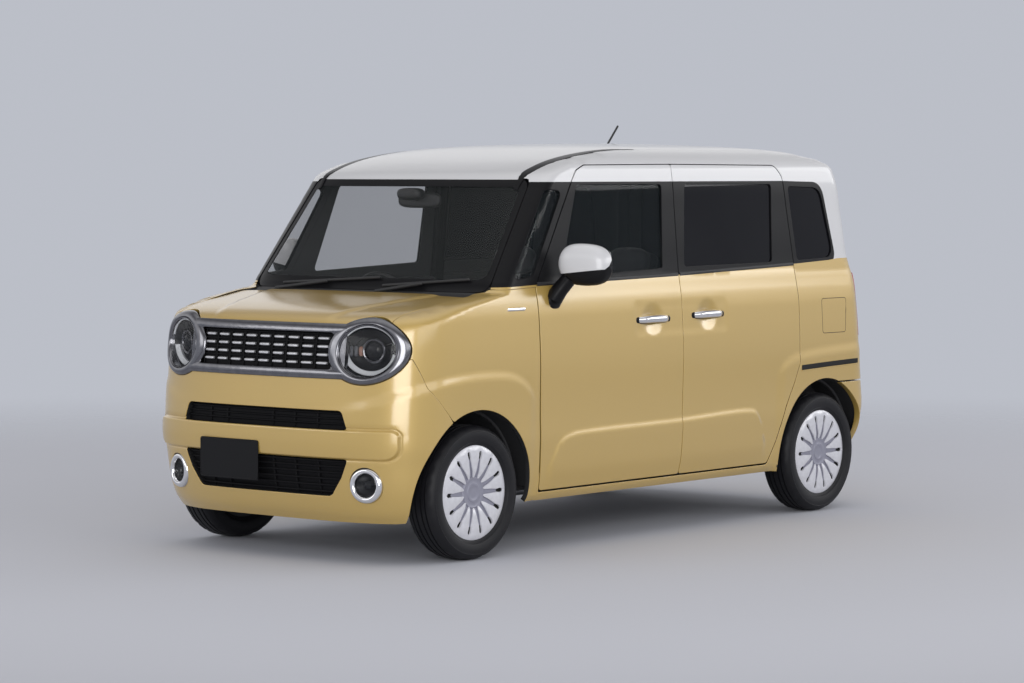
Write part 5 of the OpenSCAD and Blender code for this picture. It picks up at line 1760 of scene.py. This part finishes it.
# Rear-view mirror and sensor housing at the top of the windshield
mirror_y = surface_y(0, 1440) + 95
stem = tube([(0, surface_y(0, 1492) + 14, 1480), (0, mirror_y - 20, 1462), (0, mirror_y, 1452)], [10, 9, 9],
            12, 0)
back = blob((0, mirror_y + 12, 1448), (118, 16, 34), 3.4, 16, 36, 0)
sensor = blob((-20, surface_y(0, 1478) + 44, 1474), (66, 36, 26), 3.0, 14, 28, 0)
make("cabin_mirror", joined(stem, back, sensor), [PLASTIC])
visors = [placed(blob((0, 0, 0), (170, 74, 9), 3.4, 12, 32, 0), leaned(-14),
                 (sx * 320, surface_y(320, 1560) + 130, 1552)) for sx in (1, -1)]
make("sun_visors", joined(*visors), [LINER_CLOTH])


# Stage: pale floor that fades into the backdrop, soft lights, camera
BACK = (0.50, 0.52, 0.575)
FLOOR_R, FLOOR_SIDES, FADE_FROM, FADE_TO = 10, 96, 3.2, 9.0


def floor_material():
    m = material("floor", (0.56, 0.57, 0.62), 0.9)
    tree = m.node_tree
    place = tree.nodes.new("ShaderNodeTexCoord")
    length = tree.nodes.new("ShaderNodeVectorMath")
    length.operation = "LENGTH"
    tree.links.new(place.outputs["Object"], length.inputs[0])
    fade = tree.nodes.new("ShaderNodeMapRange")
    fade.interpolation_type = "SMOOTHSTEP"
    fade.inputs["From Min"].default_value = FADE_FROM
    fade.inputs["From Max"].default_value = FADE_TO
    tree.links.new(length.outputs["Value"], fade.inputs["Value"])
    clear = tree.nodes.new("ShaderNodeBsdfTransparent")
    mix = tree.nodes.new("ShaderNodeMixShader")
    tree.links.new(fade.outputs["Result"], mix.inputs["Fac"])
    tree.links.new(tree.nodes["Principled BSDF"].outputs["BSDF"], mix.inputs[1])
    tree.links.new(clear.outputs["BSDF"], mix.inputs[2])
    tree.links.new(mix.outputs["Shader"], tree.nodes["Material Output"].inputs["Surface"])
    return m


floor_data = bpy.data.meshes.new("floor")
turns = np.linspace(0, 2 * math.pi, FLOOR_SIDES, endpoint=False)
ring = [(FLOOR_R * math.cos(a), FLOOR_R * math.sin(a), 0) for a in turns]
floor_data.from_pydata(ring, [], [list(range(FLOOR_SIDES))])
floor_data.materials.append(floor_material())
floor = linked("floor", floor_data)

world = bpy.data.worlds.new("studio")
bpy.context.scene.world = world
world.use_nodes = True
sky = world.node_tree
direction = sky.nodes.new("ShaderNodeTexCoord")
split = sky.nodes.new("ShaderNodeSeparateXYZ")
sky.links.new(direction.outputs["Generated"], split.inputs["Vector"])
height = sky.nodes.new("ShaderNodeValToRGB")
for at, shade in ((0.0, (0.10, 0.10, 0.11)), (0.42, (0.20, 0.20, 0.22)), (0.465, BACK), (0.545, BACK),
                  (0.60, (0.95, 0.95, 0.97)), (0.68, (0.90, 0.90, 0.92)), (0.80, (0.24, 0.24, 0.26)),
                  (1.0, (0.20, 0.20, 0.22))):
    stop = height.color_ramp.elements.new(at) if 0 < at < 1 else height.color_ramp.elements[int(at)]
    stop.color = (*shade, 1)
remap = sky.nodes.new("ShaderNodeMapRange")
remap.inputs["From Min"].default_value = -1.0
remap.inputs["From Max"].default_value = 1.0
sky.links.new(split.outputs["Z"], remap.inputs["Value"])
sky.links.new(remap.outputs["Result"], height.inputs["Fac"])
sky.links.new(height.outputs["Color"], sky.nodes["Background"].inputs["Color"])
sky.nodes["Background"].inputs["Strength"].default_value = 1.0


def area_light(name, at, aim, size, power, color=(1, 1, 1)):
    lamp = bpy.data.lights.new(name, "AREA")
    lamp.shape = "RECTANGLE"
    lamp.size, lamp.size_y = size
    lamp.energy = power
    lamp.color = color
    obj = linked(name, lamp)
    obj.location = at
    obj.rotation_euler = (Vector(aim) - Vector(at)).to_track_quat("-Z", "Y").to_euler()


area_light("side_band", (7.2, 8.6, 3.8), (0.5, 0.3, 0.9), (9.0, 2.2), 190)
area_light("side_soft", (8.0, -1.0, 3.0), (0, 0.2, 0.8), (7.0, 2.6), 60)
area_light("front_soft", (-3.5, -8.5, 3.0), (0, -0.8, 0.8), (6.0, 2.2), 60)
area_light("corner_soft", (9.9, -12.0, 3.0), (0.4, -1.2, 0.9), (8.0, 6.5), 720)

YAW_CAM, PITCH_CAM = math.radians(39.8366), math.radians(3.0748)
CAM_AT, CAM_LENS, CAM_SENSOR = (9.057, -10.947, 1.576), 112.2, 36.0
look = Vector((-math.sin(YAW_CAM) * math.cos(PITCH_CAM), math.cos(YAW_CAM) * math.cos(PITCH_CAM),
               -math.sin(PITCH_CAM)))
cam = bpy.data.cameras.new("camera")
cam.lens, cam.sensor_width = CAM_LENS, CAM_SENSOR
camera = linked("camera", cam)
camera.location = CAM_AT
camera.rotation_euler = look.to_track_quat("-Z", "Y").to_euler()
bpy.context.scene.camera = camera
bpy.context.scene.view_settings.view_transform = "Standard"
